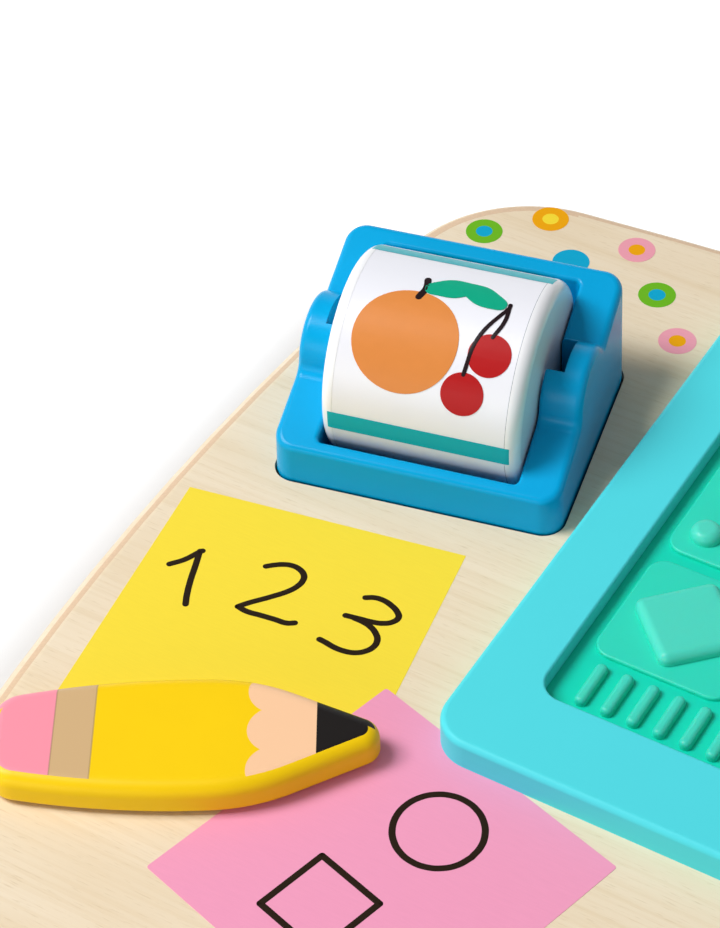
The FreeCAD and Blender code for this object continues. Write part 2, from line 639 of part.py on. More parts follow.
def roller_cut():
    """What the board loses for the roller case: cut-out, rebate for the flange and pilot holes."""
    opening = block_body("case_cutout", f"{CASE_WIDTH} + 2 * case_gap", f"{CASE_DEPTH} + 2 * case_gap",
                         f"board_thick + 2 * {OVER}", "case_corner + case_gap")
    place(opening, z=f"-board_thick - {OVER}")
    rebate = block_body("case_rebate",
                        f"{FLANGE_WIDTH} + 2 * rebate_gap", f"{FLANGE_DEPTH} + 2 * rebate_gap",
                        f"{REBATE} + {OVER}", f"{FLANGE_CORNER} + rebate_gap")
    place(rebate, z=f"-board_thick - {OVER}")
    hole_length = "roller_screw_length + screw_hole_spare"
    holes = [screw_hole(f"board_roller_hole_{number}", x, y, "-board_thick", hole_length)
             for number, (x, y) in enumerate(roller_screw_places(), start=1)]
    return on_roller(fuse("roller_cut", opening, rebate, *holes))


def on_tablet(obj):
    """Put a piece built about the tablet's centre in its place on the board."""
    return place(obj, TABLET_X, TABLET_Y, BOARD_TOP)


def tablet_screw_places():
    """Six tablet screws about the tablet's centre."""
    x = "(tablet_width / 2 - tablet_screw_inset)"
    y = "(tablet_length / 2 - tablet_screw_inset)"
    return [(f"{side} * {x}", f"{end} * {y}") for side in ("-1", "1") for end in ("-1", "0", "1")]


def make_tablet_frame():
    """Frame with a window, a lip over the pad and blind holes for its screws."""
    blank = block_body("frame_blank", "tablet_width", "tablet_length", "tablet_height", "tablet_corner")
    round_edge(blank, "frame_round", "tablet_round", level(size("tablet_height")))
    window = block_body("frame_window", WINDOW_WIDTH, WINDOW_LENGTH,
                        f"tablet_height + 2 * {OVER}", "window_corner")
    place(window, y=WINDOW_Y, z=f"-{OVER}")
    rebate = block_body("frame_rebate",
                        f"{WINDOW_WIDTH} + 2 * lip_reach", f"{WINDOW_LENGTH} + 2 * lip_reach",
                        f"pad_floor + pad_gap + {OVER}", "window_corner + lip_reach")
    place(rebate, y=WINDOW_Y, z=f"-{OVER}")
    holes = [screw_hole(f"frame_hole_{number}", x, y, "0", "tablet_screw_bite + screw_hole_spare")
             for number, (x, y) in enumerate(tablet_screw_places(), start=1)]
    frame = cut("frame_cut", blank, fuse("frame_cuts", window, rebate, *holes))

    def window_edge(edge):
        return level(size("tablet_height"))(edge) and within(edge, window.Shape.BoundBox, "XY")
    return rounded("frame_soft", frame, (size("window_round"), window_edge))


def tile_places():
    """Column, row and centre of each tile about the tablet's centre."""
    across = size("tablet_width") - 2 * size("bezel_side") - size("tile_inset")
    along = size("tablet_length") - size("bezel_front") - size("bezel_side") - size("tile_front")
    columns = int((across + size("tile_pitch") - size("tile_size")) // size("tile_pitch"))
    rows = int((along + size("tile_pitch") - size("tile_size")) // size("tile_pitch"))
    left = f"(-{WINDOW_WIDTH} / 2 + tile_inset + tile_size / 2)"
    front = f"(bezel_front - tablet_length / 2 + tile_front + tile_size / 2)"
    return [(column, row, f"({left} + {column} * tile_pitch)", f"({front} + {row} * tile_pitch)")
            for column in range(columns) for row in range(rows)]


def icon_block(name, length, width, x, y, turn=None):
    """A bar of an icon with soft top edges."""
    body = block_body(name, length, width, "icon_height", "icon_round")
    round_edge(body, f"{name}_round", "icon_round * 0.9", level(size("icon_height")))
    return place(body, x, y, "pad_floor + tile_height", turn)


def icon_dot(name, radius, x, y):
    """A round dot of an icon with a soft top edge."""
    corners = [("0", "0"), (radius, "0"), (radius, "icon_height"), ("0", "icon_height")]
    body = turned_body(name, corners)
    round_edge(body, f"{name}_round", "icon_round * 0.9", level(size("icon_height")))
    return place(body, x, y, "pad_floor + tile_height")


def make_icon(kind, x, y):
    """The raised figure on a tile: one of six plain shapes, by number."""
    if kind == 0:
        side = "icon_reach * sqrt(2)"
        return [icon_block("icon_diamond", side, side, x, y, "45")]
    if kind == 1:
        spots = [("0", "0"), ("-1", "-1"), ("-1", "1"), ("1", "-1"), ("1", "1")]
        return [icon_dot(f"icon_dot_{number}", "icon_dot_radius",
                         f"{x} + {a} * icon_dot_spread", f"{y} + {b} * icon_dot_spread")
                for number, (a, b) in enumerate(spots, start=1)]
    if kind == 2:
        return [icon_dot("icon_disc", "icon_reach * 0.9", x, y)]
    if kind == 3:
        return [icon_block(f"icon_bar_{number}", "icon_bar", "icon_reach * 1.7",
                           f"{x} + {a} * icon_bar_pitch", y)
                for number, a in enumerate(("-1", "0", "1"), start=1)]
    if kind == 4:
        return [icon_block("icon_plus_across", "icon_reach * 1.8", "icon_bar", x, y),
                icon_block("icon_plus_along", "icon_bar", "icon_reach * 1.8", x, y)]
    return [icon_block("icon_square", "icon_reach * 1.5", "icon_reach * 1.5", x, y)]


def make_tablet_pad():
    """Soft pad clamped under the frame's lip: a floor with tiles, icons and ribs."""
    blank = block_body("pad_blank", f"{WINDOW_WIDTH} + 2 * (lip_reach - pad_gap)",
                       f"{WINDOW_LENGTH} + 2 * (lip_reach - pad_gap)",
                       "pad_floor", "window_corner + lip_reach - pad_gap")
    solids = [place(blank, y=WINDOW_Y)]
    for number, (column, row, x, y) in enumerate(tile_places()):
        tile = block_body(f"tile_{column}_{row}", "tile_size", "tile_size", "tile_height", "tile_corner")
        round_edge(tile, f"tile_round_{column}_{row}", "tile_height * 0.5", level(size("tile_height")))
        solids.append(place(tile, x, y, "pad_floor"))
        solids += make_icon(number % 6, x, y)
    for number in range(int(size("rib_count"))):
        rib = block_body(f"rib_{number}", "rib_width", "rib_length", "rib_height", "rib_width * 0.45")
        round_edge(rib, f"rib_round_{number}", "rib_width * 0.4", level(size("rib_height")))
        solids.append(place(rib, f"-{WINDOW_WIDTH} / 2 + rib_left + {number} * rib_pitch",
                            "bezel_front - tablet_length / 2 + rib_front + rib_length / 2", "pad_floor"))
    return fuse("pad_solid", *solids)


def make_tablet():
    """Frame, pad and screws of the tablet."""
    keep("tablet_frame", on_tablet(make_tablet_frame()))
    keep("tablet_pad", on_tablet(make_tablet_pad()))
    screws = [screw(f"tablet_screw_{number}", x, y, "tablet_well - board_thick",
                    "board_thick - tablet_well + tablet_screw_bite")
              for number, (x, y) in enumerate(tablet_screw_places(), start=1)]
    keep("tablet_screws", on_tablet(group("tablet_screw_set", *screws)))


def tablet_cut():
    """Holes and wells in the board for the tablet's screws."""
    return [screw_well(f"tablet_well_{number}", f"{TABLET_X} + {x}", f"{TABLET_Y} + {y}", "tablet_well")
            for number, (x, y) in enumerate(tablet_screw_places(), start=1)]


def half_plane(name, side):
    """A block whose edge is one side of the pencil's point."""
    obj = doc.addObject("Part::Box", name)
    bind(obj, Length="2 * pencil_tip", Width="2 * pencil_tip", Height="pencil_thick")
    slope = size("pencil_point_slope")
    start = Vector(-2 * size("pencil_tip"), 0 if side < 0 else -2 * size("pencil_tip"), 0)
    turn = FreeCAD.Rotation(Vector(0, 0, 1), -side * slope)
    obj.Placement = FreeCAD.Placement(Vector(size("pencil_tip"), 0, 0) + turn.multVec(start), turn)
    return obj


def make_pencil():
    """Pencil shape cut from board: bulging sides, a straight-sided point and soft edges."""
    bellies = [cylinder(f"pencil_belly_{name}", "pencil_belly_radius", "pencil_thick", "0",
                        f"{sign} * (pencil_belly_radius - pencil_half_width)")
               for name, sign in (("left", "-1"), ("right", "1"))]
    span = box("pencil_span", "pencil_back + pencil_tip", "4 * pencil_half_width", "pencil_thick",
               "(pencil_tip - pencil_back) / 2")
    sides = [half_plane("pencil_point_left", 1), half_plane("pencil_point_right", -1)]
    blank = common("pencil_blank", *bellies, span, *sides)

    def at(low, high):
        return lambda edge: upright(edge) and low < edge.BoundBox.XMin < high
    shaped = rounded("pencil_shaped", blank,
                     (size("pencil_shoulder"), at(0, size("pencil_tip") - 1)),
                     (size("pencil_tip_radius"), at(size("pencil_tip") - 1, size("pencil_tip") + 1)),
                     (size("pencil_end_radius"), at(-size("pencil_back") - 1, 0)))
    soft = rounded("pencil_soft", shaped, (size("pencil_round"), level(size("pencil_thick"))),
                   (size("pencil_round") / 2, level(0)))
    hole = cylinder("pencil_hole", "pin_radius + pin_press_gap", "pin_bite + screw_hole_spare")
    return cut("pencil_cut", soft, hole)


def on_pencil(obj):
    """Put a piece built about the pencil's pivot in its place on the board."""
    return place(obj, PENCIL_X, PENCIL_Y, f"{BOARD_TOP} + washer_thick", "pencil_turn")


def pin_corners(seat, end, radius, head_radius, head_height):
    """Outline of a pin with its head below the seat."""
    return [("0", f"{seat} - {head_height}"), (head_radius, f"{seat} - {head_height}"), (head_radius, seat),
            (radius, seat), (radius, end), ("0", end)]


def make_pencil_set():
    """Pencil, the pin that turns with it, and the washer under it."""
    keep("pencil", on_pencil(make_pencil()))
    corners = pin_corners("(foot_height + pin_well - hand_gap)", f"({BOARD_TOP} + washer_thick + pin_bite)",
                          "pin_radius", "pin_head_radius", "pin_head_height")
    keep("pencil_pin", place(turned_body("pencil_pin_body", corners), PENCIL_X, PENCIL_Y))
    washer = cut("washer_cut", cylinder("washer_disc", "washer_radius", "washer_thick"),
                 cylinder("washer_hole", "pin_radius + bore_gap", "washer_thick"))
    keep("pencil_washer", place(washer, PENCIL_X, PENCIL_Y, BOARD_TOP))


def pencil_cut_in_board():
    """Hole and well in the board for the pencil's pin."""
    return [cylinder("pin_board_hole", "pin_radius + bore_gap", f"{BOARD_TOP} + {OVER}",
                     PENCIL_X, PENCIL_Y),
            cylinder("pin_board_well", "pin_head_radius + pin_well_gap", "foot_height + pin_well",
                     PENCIL_X, PENCIL_Y)]


DIAL_TOP = f"({BOARD_TOP} + dial_thick)"
HOUR_BASE = f"({DIAL_TOP} + hand_gap)"
MINUTE_BASE = f"({HOUR_BASE} + hand_thick + hand_gap)"
SPINDLE_SEAT = f"({MINUTE_BASE} + hand_thick + hand_gap)"
CLIP_TOP = "(foot_height + clip_well)"


def meets_bar(edge):
    """Upright edges beside a hand's long axis, where its hub, bar and end meet."""
    return upright(edge) and abs(edge.BoundBox.YMin) > 0.5


def at_bore(edge):
    """True for an edge round the bore of a hand."""
    where = edge.BoundBox
    return max(-where.XMin, where.XMax, -where.YMin, where.YMax) < size("pin_radius") + 1


def make_hand(name, length, width, angle, base):
    """A clock hand: a round hub, a tapering bar and a round end, with soft top edges."""
    body = doc.addObject("PartDesign::Body", f"{name}_body")
    sketch = polygon_sketch(body, "XY_Plane", f"{name}_outline", [
        ("0", f"-{width} * 0.4"), (f"{length} - {width} / 2", f"-{width} * 0.3"),
        (f"{length} - {width} / 2", f"{width} * 0.3"), ("0", f"{width} * 0.4")])
    pad = body.newObject("PartDesign::Pad", f"{name}_pad")
    pad.Profile = sketch
    bind(pad, Length="hand_thick")
    hub = cylinder(f"{name}_hub", "hand_hub_radius", "hand_thick")
    tip = cylinder(f"{name}_tip", f"{width} / 2", "hand_thick", f"{length} - {width} / 2")
    bore = cylinder(f"{name}_bore", "pin_radius + bore_gap", "hand_thick")
    blank = cut(f"{name}_blank", fuse(f"{name}_solid", body, hub, tip), bore)
    smooth = rounded(f"{name}_smooth", blank, (2 * size("hand_round"), meets_bar))

    def outline(edge):
        return level(size("hand_thick"))(edge) and not at_bore(edge)
    soft = rounded(f"{name}_soft", smooth, (size("hand_round"), outline))
    return place(soft, CLOCK_X, CLOCK_Y, base, angle)


def make_clock():
    """Dial, two hands, the spindle through them and its clip under the board."""
    bore = "pin_radius + pin_press_gap"
    disc = turned_body("dial_disc", [(bore, "0"), ("dial_radius", "0"),
                                     ("dial_radius", "dial_thick"), (bore, "dial_thick")])

    def rim(edge):
        return level(size("dial_thick"))(edge) and edge.BoundBox.XLength > size("dial_radius")
    round_edge(disc, "dial_soft", "dial_round", rim)
    keep("clock_dial", place(disc, CLOCK_X, CLOCK_Y, BOARD_TOP))
    keep("hour_hand", make_hand("hour", "hour_length", "hour_width", "hour_angle", HOUR_BASE))
    keep("minute_hand", make_hand("minute", "minute_length", "minute_width", "minute_angle", MINUTE_BASE))
    tail = f"({CLIP_TOP} - clip_thick - spindle_tail)"
    corners = [("0", tail), ("pin_radius", tail), ("pin_radius", SPINDLE_SEAT),
               ("spindle_head_radius", SPINDLE_SEAT),
               ("spindle_head_radius", f"{SPINDLE_SEAT} + spindle_head_height"),
               ("0", f"{SPINDLE_SEAT} + spindle_head_height")]
    spindle = turned_body("spindle_body", corners)
    top = size("foot_height") + size("board_thick") + size("dial_thick") + 3 * size("hand_gap") \
        + 2 * size("hand_thick") + size("spindle_head_height")
    round_edge(spindle, "spindle_round", "spindle_head_height * 0.6", level(top))
    keep("clock_spindle", place(spindle, CLOCK_X, CLOCK_Y))
    clip = cut("clip_cut", cylinder("clip_disc", "clip_radius", "clip_thick"),
               cylinder("clip_hole", "pin_radius + pin_press_gap", "clip_thick"))
    keep("clock_clip", place(clip, CLOCK_X, CLOCK_Y, f"{CLIP_TOP} - clip_thick"))


def clock_cut():
    """Hole and well in the board for the clock's spindle."""
    return [cylinder("spindle_board_hole", "pin_radius + pin_press_gap", f"{BOARD_TOP} + {OVER}",
                     CLOCK_X, CLOCK_Y),
            cylinder("clip_board_well", "clip_radius + pin_well_gap", CLIP_TOP, CLOCK_X, CLOCK_Y)]


GUIDE_WIDTH = "(slot_width - 2 * guide_gap)"
SHOE_TOP = "(groove_depth - board_thick - mouse_gap)"
MOUSE_STEM = f"(mouse_gap + guide_bite - {SHOE_TOP})"


def on_mouse(obj):
    """Put a piece built about the slot's centre in its place on the board."""
    return place(obj, MOUSE_X, MOUSE_Y, BOARD_TOP)


def make_mouse():
    """Sliding mouse: a rounded block, its guide in the slot and the screw that joins them."""
    block = block_body("mouse_block", "mouse_width", "mouse_length", "mouse_height - mouse_gap",
                       "mouse_corner")
    round_edge(block, "mouse_top", "mouse_round", level(size("mouse_height") - size("mouse_gap")))
    place(block, z="mouse_gap")
    pocket = box("mouse_pocket", GUIDE_WIDTH, "guide_length", "guide_bite", z="mouse_gap")
    hole = screw_hole("mouse_hole", "0", "0", "mouse_gap",
                      "guide_bite + mouse_screw_bite + screw_hole_spare")
    keep("mouse", on_mouse(cut("mouse_cut", block, fuse("mouse_cuts", pocket, hole))))
    stem = box("guide_stem", GUIDE_WIDTH, "guide_length", MOUSE_STEM, z=SHOE_TOP)
    shoe = block_body("guide_shoe", "shoe_width", "shoe_length", "shoe_thick", "slot_width / 2")
    place(shoe, z=f"{SHOE_TOP} - shoe_thick")
    under = f"{SHOE_TOP} - shoe_thick"
    bore = screw_hole("guide_hole", "0", "0", under, f"{MOUSE_STEM} + shoe_thick + {OVER}")
    keep("mouse_guide", on_mouse(cut("guide_cut", fuse("guide_solid", stem, shoe), bore)))
    joiner = screw("mouse_screw_body", "0", "0", under, f"{MOUSE_STEM} + shoe_thick + mouse_screw_bite")
    keep("mouse_screw", on_mouse(group("mouse_screw_set", joiner)))


def mouse_cut_in_board():
    """Slot through the board and the wider groove under it."""
    slot = block_body("mouse_slot", "slot_width", "2 * (mouse_travel + guide_gap) + guide_length",
                      f"board_thick + 2 * {OVER}", "guide_gap")
    place(slot, z=f"-board_thick - {OVER}")
    groove = block_body("mouse_groove", "shoe_width + 2 * guide_gap",
                        "2 * (mouse_travel + guide_gap) + shoe_length",
                        f"groove_depth + {OVER}", "guide_gap")
    place(groove, z=f"-board_thick - {OVER}")
    return on_mouse(fuse("mouse_cut_tool", slot, groove))


COLLAR_BASE = "(keys_height - keys_deck - key_play - key_collar_thick)"
CAP_CEILING = f"({KEY_TOP} - key_wall)"


def on_keys(obj, x="0"):
    """Put a piece built about the key housing's centre in its place on the board."""
    return place(obj, f"{KEYS_X} + {x}", KEYS_Y, BOARD_TOP)


def key_places():
    """Place of each key across the housing."""
    count = int(size("key_count"))
    return [f"({number} - (key_count - 1) / 2) * key_pitch" for number in range(count)]


def keys_screw_places():
    """The four key housing screws about its centre."""
    return [(f"{side} * keys_screw_x", f"{end} * keys_screw_y")
            for side in ("-1", "1") for end in ("-1", "1")]


def make_keys():
    """Key housing with its screws, and for each key a cap and a spring."""
    blank = block_body("keys_blank", "keys_width", "keys_depth", "keys_height", "keys_corner")
    round_edge(blank, "keys_soft", "keys_round", level(size("keys_height")))
    cuts = []
    for number, x in enumerate(key_places(), start=1):
        cuts.append(cylinder(f"key_bore_{number}", "key_radius + key_gap", f"keys_height + {OVER}", x))
        cuts.append(cylinder(f"key_chamber_{number}", "key_radius + key_collar + key_gap",
                             "keys_height - keys_deck", x))
    for number, (x, y) in enumerate(keys_screw_places(), start=1):
        cuts.append(screw_hole(f"keys_hole_{number}", x, y, "0", "keys_screw_bite + screw_hole_spare"))
    keep("key_housing", on_keys(cut("keys_cut", blank, fuse("keys_cuts", *cuts))))
    top = size("keys_height") + size("key_low") + size("key_travel")
    for number, x in enumerate(key_places(), start=1):
        cap = turned_body(f"key_body_{number}", [
            ("key_radius - key_wall", COLLAR_BASE), ("key_radius + key_collar", COLLAR_BASE),
            ("key_radius + key_collar", f"{COLLAR_BASE} + key_collar_thick"),
            ("key_radius", f"{COLLAR_BASE} + key_collar_thick"), ("key_radius", KEY_TOP),
            ("0", KEY_TOP), ("0", CAP_CEILING), ("key_radius - key_wall", CAP_CEILING)])
        round_edge(cap, f"key_round_{number}", "key_round", level(top))
        keep(f"key_cap_{number}", on_keys(cap, x))
        spring = turned_body(f"spring_body_{number}", [
            ("spring_radius - spring_wall", "0"), ("spring_radius", "0"),
            ("spring_radius", CAP_CEILING), ("spring_radius - spring_wall", CAP_CEILING)])
        keep(f"key_spring_{number}", on_keys(spring, x))
    screws = [screw(f"keys_screw_{number}", x, y, "tablet_well - board_thick",
                    "board_thick - tablet_well + keys_screw_bite")
              for number, (x, y) in enumerate(keys_screw_places(), start=1)]
    keep("key_screws", on_keys(group("keys_screw_set", *screws)))


def keys_cut_in_board():
    """Holes and wells in the board for the key housing's screws."""
    return [screw_well(f"keys_well_{number}", f"{KEYS_X} + {x}", f"{KEYS_Y} + {y}", "tablet_well")
            for number, (x, y) in enumerate(keys_screw_places(), start=1)]


def make_board():
    """Plywood board: four bowed edges, round corners, and the openings of everything it carries."""
    bows = [cylinder(f"bow_{name}", "side_bow_radius", "board_thick",
                     f"{sign} * (side_bow_radius - board_width / 2)")
            for name, sign in (("left", "1"), ("right", "-1"))]
    bows += [cylinder(f"bow_{name}", "end_bow_radius", "board_thick", "0",
                      f"{sign} * (end_bow_radius - board_depth / 2)")
             for name, sign in (("front", "1"), ("back", "-1"))]
    blank = common("board_blank", *bows)
    shaped = rounded("board_shaped", blank, (size("board_corner"), upright_at_corner))
    soft = rounded("board_soft", shaped, (size("board_round"), level(size("board_thick"))),
                   (size("board_under_round"), level(0)))
    place(soft, z="foot_height")
    tools = [roller_cut(), *tablet_cut(), *pencil_cut_in_board(), *clock_cut(), mouse_cut_in_board(),
             *keys_cut_in_board()]
    keep("board", cut("board_cut", soft, fuse("board_cuts", *tools)))


def upright_at_corner(edge):
    """One of the board's four upright corner edges."""
    return upright(edge) and abs(edge.BoundBox.XMin) > size("board_width") / 4 \
        and abs(edge.BoundBox.YMin) > size("board_depth") / 4


def make_feet():
    """Four rubber feet near the corners."""
    corners = [(side, end) for side in ("-1", "1") for end in ("-1", "1")]
    feet = [cylinder(f"foot_{number}", "foot_radius", "foot_height",
                     f"{side} * (board_width / 2 - foot_inset)", f"{end} * (board_depth / 2 - foot_inset)")
            for number, (side, end) in enumerate(corners, start=1)]
    keep("rubber_feet", group("feet_set", *feet))


make_board()
make_feet()
make_roller()
make_tablet()
make_pencil_set()
make_clock()
make_mouse()
make_keys()

doc.recompute()
failed = [obj.Name for obj in doc.Objects if "Invalid" in obj.State or "Error" in obj.State]
if failed:
    raise RuntimeError(f"objects that failed: {failed}")
for name, obj in parts.items():
    if obj.Shape.isNull() or not obj.Shape.isValid() or not obj.Shape.Solids:
        raise RuntimeError(f"{name} has no valid shape")
os.makedirs("parts", exist_ok=True)
for name, obj in parts.items():
    obj.Shape.exportStep(f"parts/{name}.step")
    print(f"{name}: {len(obj.Shape.Solids)} solids, {obj.Shape.Volume / 1000:.2f} cm3")
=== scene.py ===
"""Busy board: its finishes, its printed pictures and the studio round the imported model.

Blender works in metres. Sizes written here are millimetres, turned into metres by MM.
"""
import json
import math

import bpy
from mathutils import Matrix, Vector


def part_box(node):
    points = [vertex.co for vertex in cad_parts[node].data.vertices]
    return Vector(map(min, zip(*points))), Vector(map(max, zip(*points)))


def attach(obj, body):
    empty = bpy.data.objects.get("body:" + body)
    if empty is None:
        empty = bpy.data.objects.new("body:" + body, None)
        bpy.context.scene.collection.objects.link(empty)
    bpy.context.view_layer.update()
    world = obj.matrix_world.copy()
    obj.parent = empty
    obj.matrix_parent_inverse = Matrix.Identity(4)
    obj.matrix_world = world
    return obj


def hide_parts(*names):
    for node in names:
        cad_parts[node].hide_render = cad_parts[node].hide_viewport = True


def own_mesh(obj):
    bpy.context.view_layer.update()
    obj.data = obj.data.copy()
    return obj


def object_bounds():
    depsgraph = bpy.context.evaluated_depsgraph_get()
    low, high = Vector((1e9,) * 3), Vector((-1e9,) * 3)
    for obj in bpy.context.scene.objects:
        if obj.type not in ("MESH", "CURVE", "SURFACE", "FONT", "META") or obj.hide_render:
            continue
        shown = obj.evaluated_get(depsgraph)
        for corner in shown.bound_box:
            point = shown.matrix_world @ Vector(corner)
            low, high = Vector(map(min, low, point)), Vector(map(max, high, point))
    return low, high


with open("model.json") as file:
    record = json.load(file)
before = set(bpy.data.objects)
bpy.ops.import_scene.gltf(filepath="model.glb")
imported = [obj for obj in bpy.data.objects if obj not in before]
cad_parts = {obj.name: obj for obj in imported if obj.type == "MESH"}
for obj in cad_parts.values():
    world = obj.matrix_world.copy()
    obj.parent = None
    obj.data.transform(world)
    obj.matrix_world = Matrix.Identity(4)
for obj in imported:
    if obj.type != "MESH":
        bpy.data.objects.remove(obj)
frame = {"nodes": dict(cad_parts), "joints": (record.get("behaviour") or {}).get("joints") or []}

bl_info = {
    "name": "Busy board",
    "version": (1, 0, 0),
    "blender": (4, 5, 0),
    "location": "View3D > Sidebar > Busy board",
    "description": "Finishes, prints and studio of a wooden busy board",
    "category": "Object",
}

MM = 0.001
CAD_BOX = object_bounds()
BOARD_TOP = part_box("board")[1].z / MM
JOINTS = {joint["name"]: joint for joint in frame["joints"]}
# The board's bowed outline, m: radius of the long sides and of the ends
SIDE_BOW = 0.678
END_BOW = 1.591
# The drum's caps, mm from its middle: where their rounding starts, and its radius
CAP_EDGE = 19.5
CAP_ROUND = 2.7
# What both lamps point at, m
LAMP_AIM = (-0.12, 0.04, 0)


def linear(text):
    """Linear red, green and blue of an sRGB hex colour."""
    values = [int(text[i:i + 2], 16) / 255 for i in (1, 3, 5)]
    return tuple(v / 12.92 if v <= 0.04045 else ((v + 0.055) / 1.055) ** 2.4 for v in values)


def paint(name, text, description):
    """A colour that a user may change."""
    return bpy.props.FloatVectorProperty(name=name, description=description, subtype="COLOR",
                                         size=3, min=0, max=1, default=linear(text))


def length(name, millimetres, description):
    """A size that a user may change."""
    return bpy.props.FloatProperty(name=name, description=description, unit="LENGTH", min=0,
                                   precision=5, default=millimetres * MM)


class BoardSettings(bpy.types.PropertyGroup):
    """Plywood and what is printed on it."""
    veneer: paint("Veneer", "#F0DFC4", "Birch face veneer")
    grain: paint("Grain", "#E0C79F", "Darker streaks of the veneer")
    end_ply: paint("Cross ply", "#DDBF9F", "Every second ply, seen on its end grain")
    ply: length("Ply", 1.35, "Thickness of one ply")
    ink: length("Ink", 0.05, "Thickness of printed ink")
    note: length("Note", 63.7, "Side of a printed note")
    yellow_note: paint("Yellow note", "#F8DD3E", "Square note behind the pencil")
    pink_note: paint("Pink note", "#F29EBE", "Square note beside the tablet")
    writing: paint("Writing", "#241708", "Ink of the digits")
    stroke: length("Stroke", 1.4, "Width of a written line")
    ring: length("Ring", 8.75, "Outer diameter of a printed ring")


class RollerSettings(bpy.types.PropertyGroup):
    """Picture roller."""
    case: paint("Case", "#00A3DA", "Blue moulded case")
    drum: paint("Drum", "#F2F2F4", "White drum and caps")
    sleeve: paint("Sleeve", "#F0F0F6", "Printed sleeve's ground")
    fruit: paint("Orange fruit", "#E08B45", "Big fruit")
    red: paint("Red fruit", "#B5191B", "Cherries and apple")
    leaf: paint("Leaf", "#0CA883", "Leaves")
    band: paint("Band", "#00AEBA", "Stripe below each picture")
    stalk: paint("Stalk", "#221418", "Stalks")
    picture: length("Picture", 48.0, "Height of one picture round the drum")
    radius: length("Sleeve radius", 23.05, "Drum over the sleeve")


class TabletSettings(bpy.types.PropertyGroup):
    """Tablet with its soft pad."""
    frame: paint("Frame", "#52DAE3", "Turquoise frame")
    pad: paint("Pad", "#0AD8BA", "Green pad")
    # Colour of the painted sheen on the pad's raised tops
    raised: paint("Painted sheen on tops", "#4FD9C2", "Sheen painted paler on the pad's tiles and icons")


class PencilSettings(bpy.types.PropertyGroup):
    """Turning pencil: places of its bands are measured from the pivot."""
    body: paint("Body", "#FBD000", "Painted yellow")
    rubber: paint("Rubber end", "#FB96A8", "Pink end")
    ferrule: paint("Ferrule", "#D3B080", "Band between rubber and body")
    wood: paint("Sharpened wood", "#FBCBA0", "Collar in front of the body")
    point: paint("Point", "#15100E", "Dark point")
    rubber_ends: length("Rubber to ferrule", 26.0, "Behind the pivot")
    ferrule_ends: length("Ferrule to body", 18.1, "Behind the pivot")
    point_starts: length("Wood to point", 25.9, "In front of the pivot")


class DeskSettings(bpy.types.PropertyGroup):
    """Clock, mouse and keys."""
    dial: paint("Dial", "#F6F1E6", "Clock dial")
    dial_rim: paint("Dial rim", "#00A0AA", "Printed rim of the dial")
    hour: paint("Hour hand", "#E2353B", "Hour hand")
    minute: paint("Minute hand", "#1D6FC0", "Minute hand")
    mouse: paint("Mouse", "#F08A1C", "Sliding mouse")
    housing: paint("Key housing", "#52DAE3", "Key housing")
    key_1: paint("First key", "#E2353B", "Left key")
    key_2: paint("Second key", "#FBD000", "Middle key")
    key_3: paint("Third key", "#5FB337", "Right key")
    mark: paint("Marks", "#FAFAF7", "Signs printed on the keys")


class StudioSettings(bpy.types.PropertyGroup):
    """Camera, floor and light."""
    camera_place: bpy.props.FloatVectorProperty(
        name="Camera place", description="Where the camera stands", subtype="TRANSLATION", size=3,
        default=(0.0756, -0.3528, 0.455))
    camera_turn: bpy.props.FloatVectorProperty(
        name="Camera turn", description="How the camera is turned", subtype="EULER", size=3,
        default=tuple(math.radians(a) for a in (46.0802, 1.3223, 30.4)))
    lens: bpy.props.FloatProperty(name="Lens", description="Focal length, mm", default=111.087)
    shift: bpy.props.FloatVectorProperty(name="Shift", description="Camera shift", size=2,
                                         default=(-0.0428, -0.0389))
    floor: paint("Floor", "#E4E4E4", "Pale floor")
    air: paint("Room", "#F9FBFF", "Faintly cool white of the room")
    sky: bpy.props.FloatProperty(name="Room light", description="Light from all round", default=0.26)
    key: bpy.props.FloatProperty(name="Key lamp", description="High lamp on the left, W", default=44.0)
    fill: bpy.props.FloatProperty(name="Fill lamp", description="Low wide lamp in front, W", default=3.6)


class BusyBoardSettings(bpy.types.PropertyGroup):
    """All that a user may change."""
    board: bpy.props.PointerProperty(type=BoardSettings)
    roller: bpy.props.PointerProperty(type=RollerSettings)
    tablet: bpy.props.PointerProperty(type=TabletSettings)
    pencil: bpy.props.PointerProperty(type=PencilSettings)
    desk: bpy.props.PointerProperty(type=DeskSettings)
    studio: bpy.props.PointerProperty(type=StudioSettings)


# Materials

def add(tree, kind, inputs=None, **settings):
    """Add one node: settings are its options, inputs are values for its sockets or sockets to link."""
    item = tree.nodes.new(kind)
    for name, value in settings.items():
        setattr(item, name, value)
    for key, value in (inputs or {}).items():
        if isinstance(value, bpy.types.NodeSocket):
            tree.links.new(value, item.inputs[key])
        else:
            item.inputs[key].default_value = value
    return item


def calc(tree, operation, *values):
    """The result of one calculation on numbers or sockets."""
    return add(tree, "ShaderNodeMath", dict(enumerate(values)), operation=operation).outputs[0]


def mix(tree, amount, first, second):
    """A colour that goes from the first to the second by an amount."""
    return add(tree, "ShaderNodeMix", {0: amount, 6: first, 7: second}, data_type="RGBA").outputs[2]


def rgba(colour, level=1.0):
    """A colour as a socket wants it, made lighter or darker by a level."""
    return (*(min(1.0, part * level) for part in colour), 1.0)


def surface(name, **inputs):
    """A material with one shader: returns it, its node tree, its shader and Object coordinates in mm."""
    material = bpy.data.materials.new(name)
    material.use_nodes = True
    tree = material.node_tree
    shader = tree.nodes["Principled BSDF"]
    for key, value in inputs.items():
        shader.inputs[key.replace("_", " ")].default_value = value
    where = add(tree, "ShaderNodeTexCoord").outputs["Object"]
    mm = add(tree, "ShaderNodeMapping", {"Vector": where, "Scale": (1 / MM,) * 3}).outputs[0]
    return material, tree, shader, mm


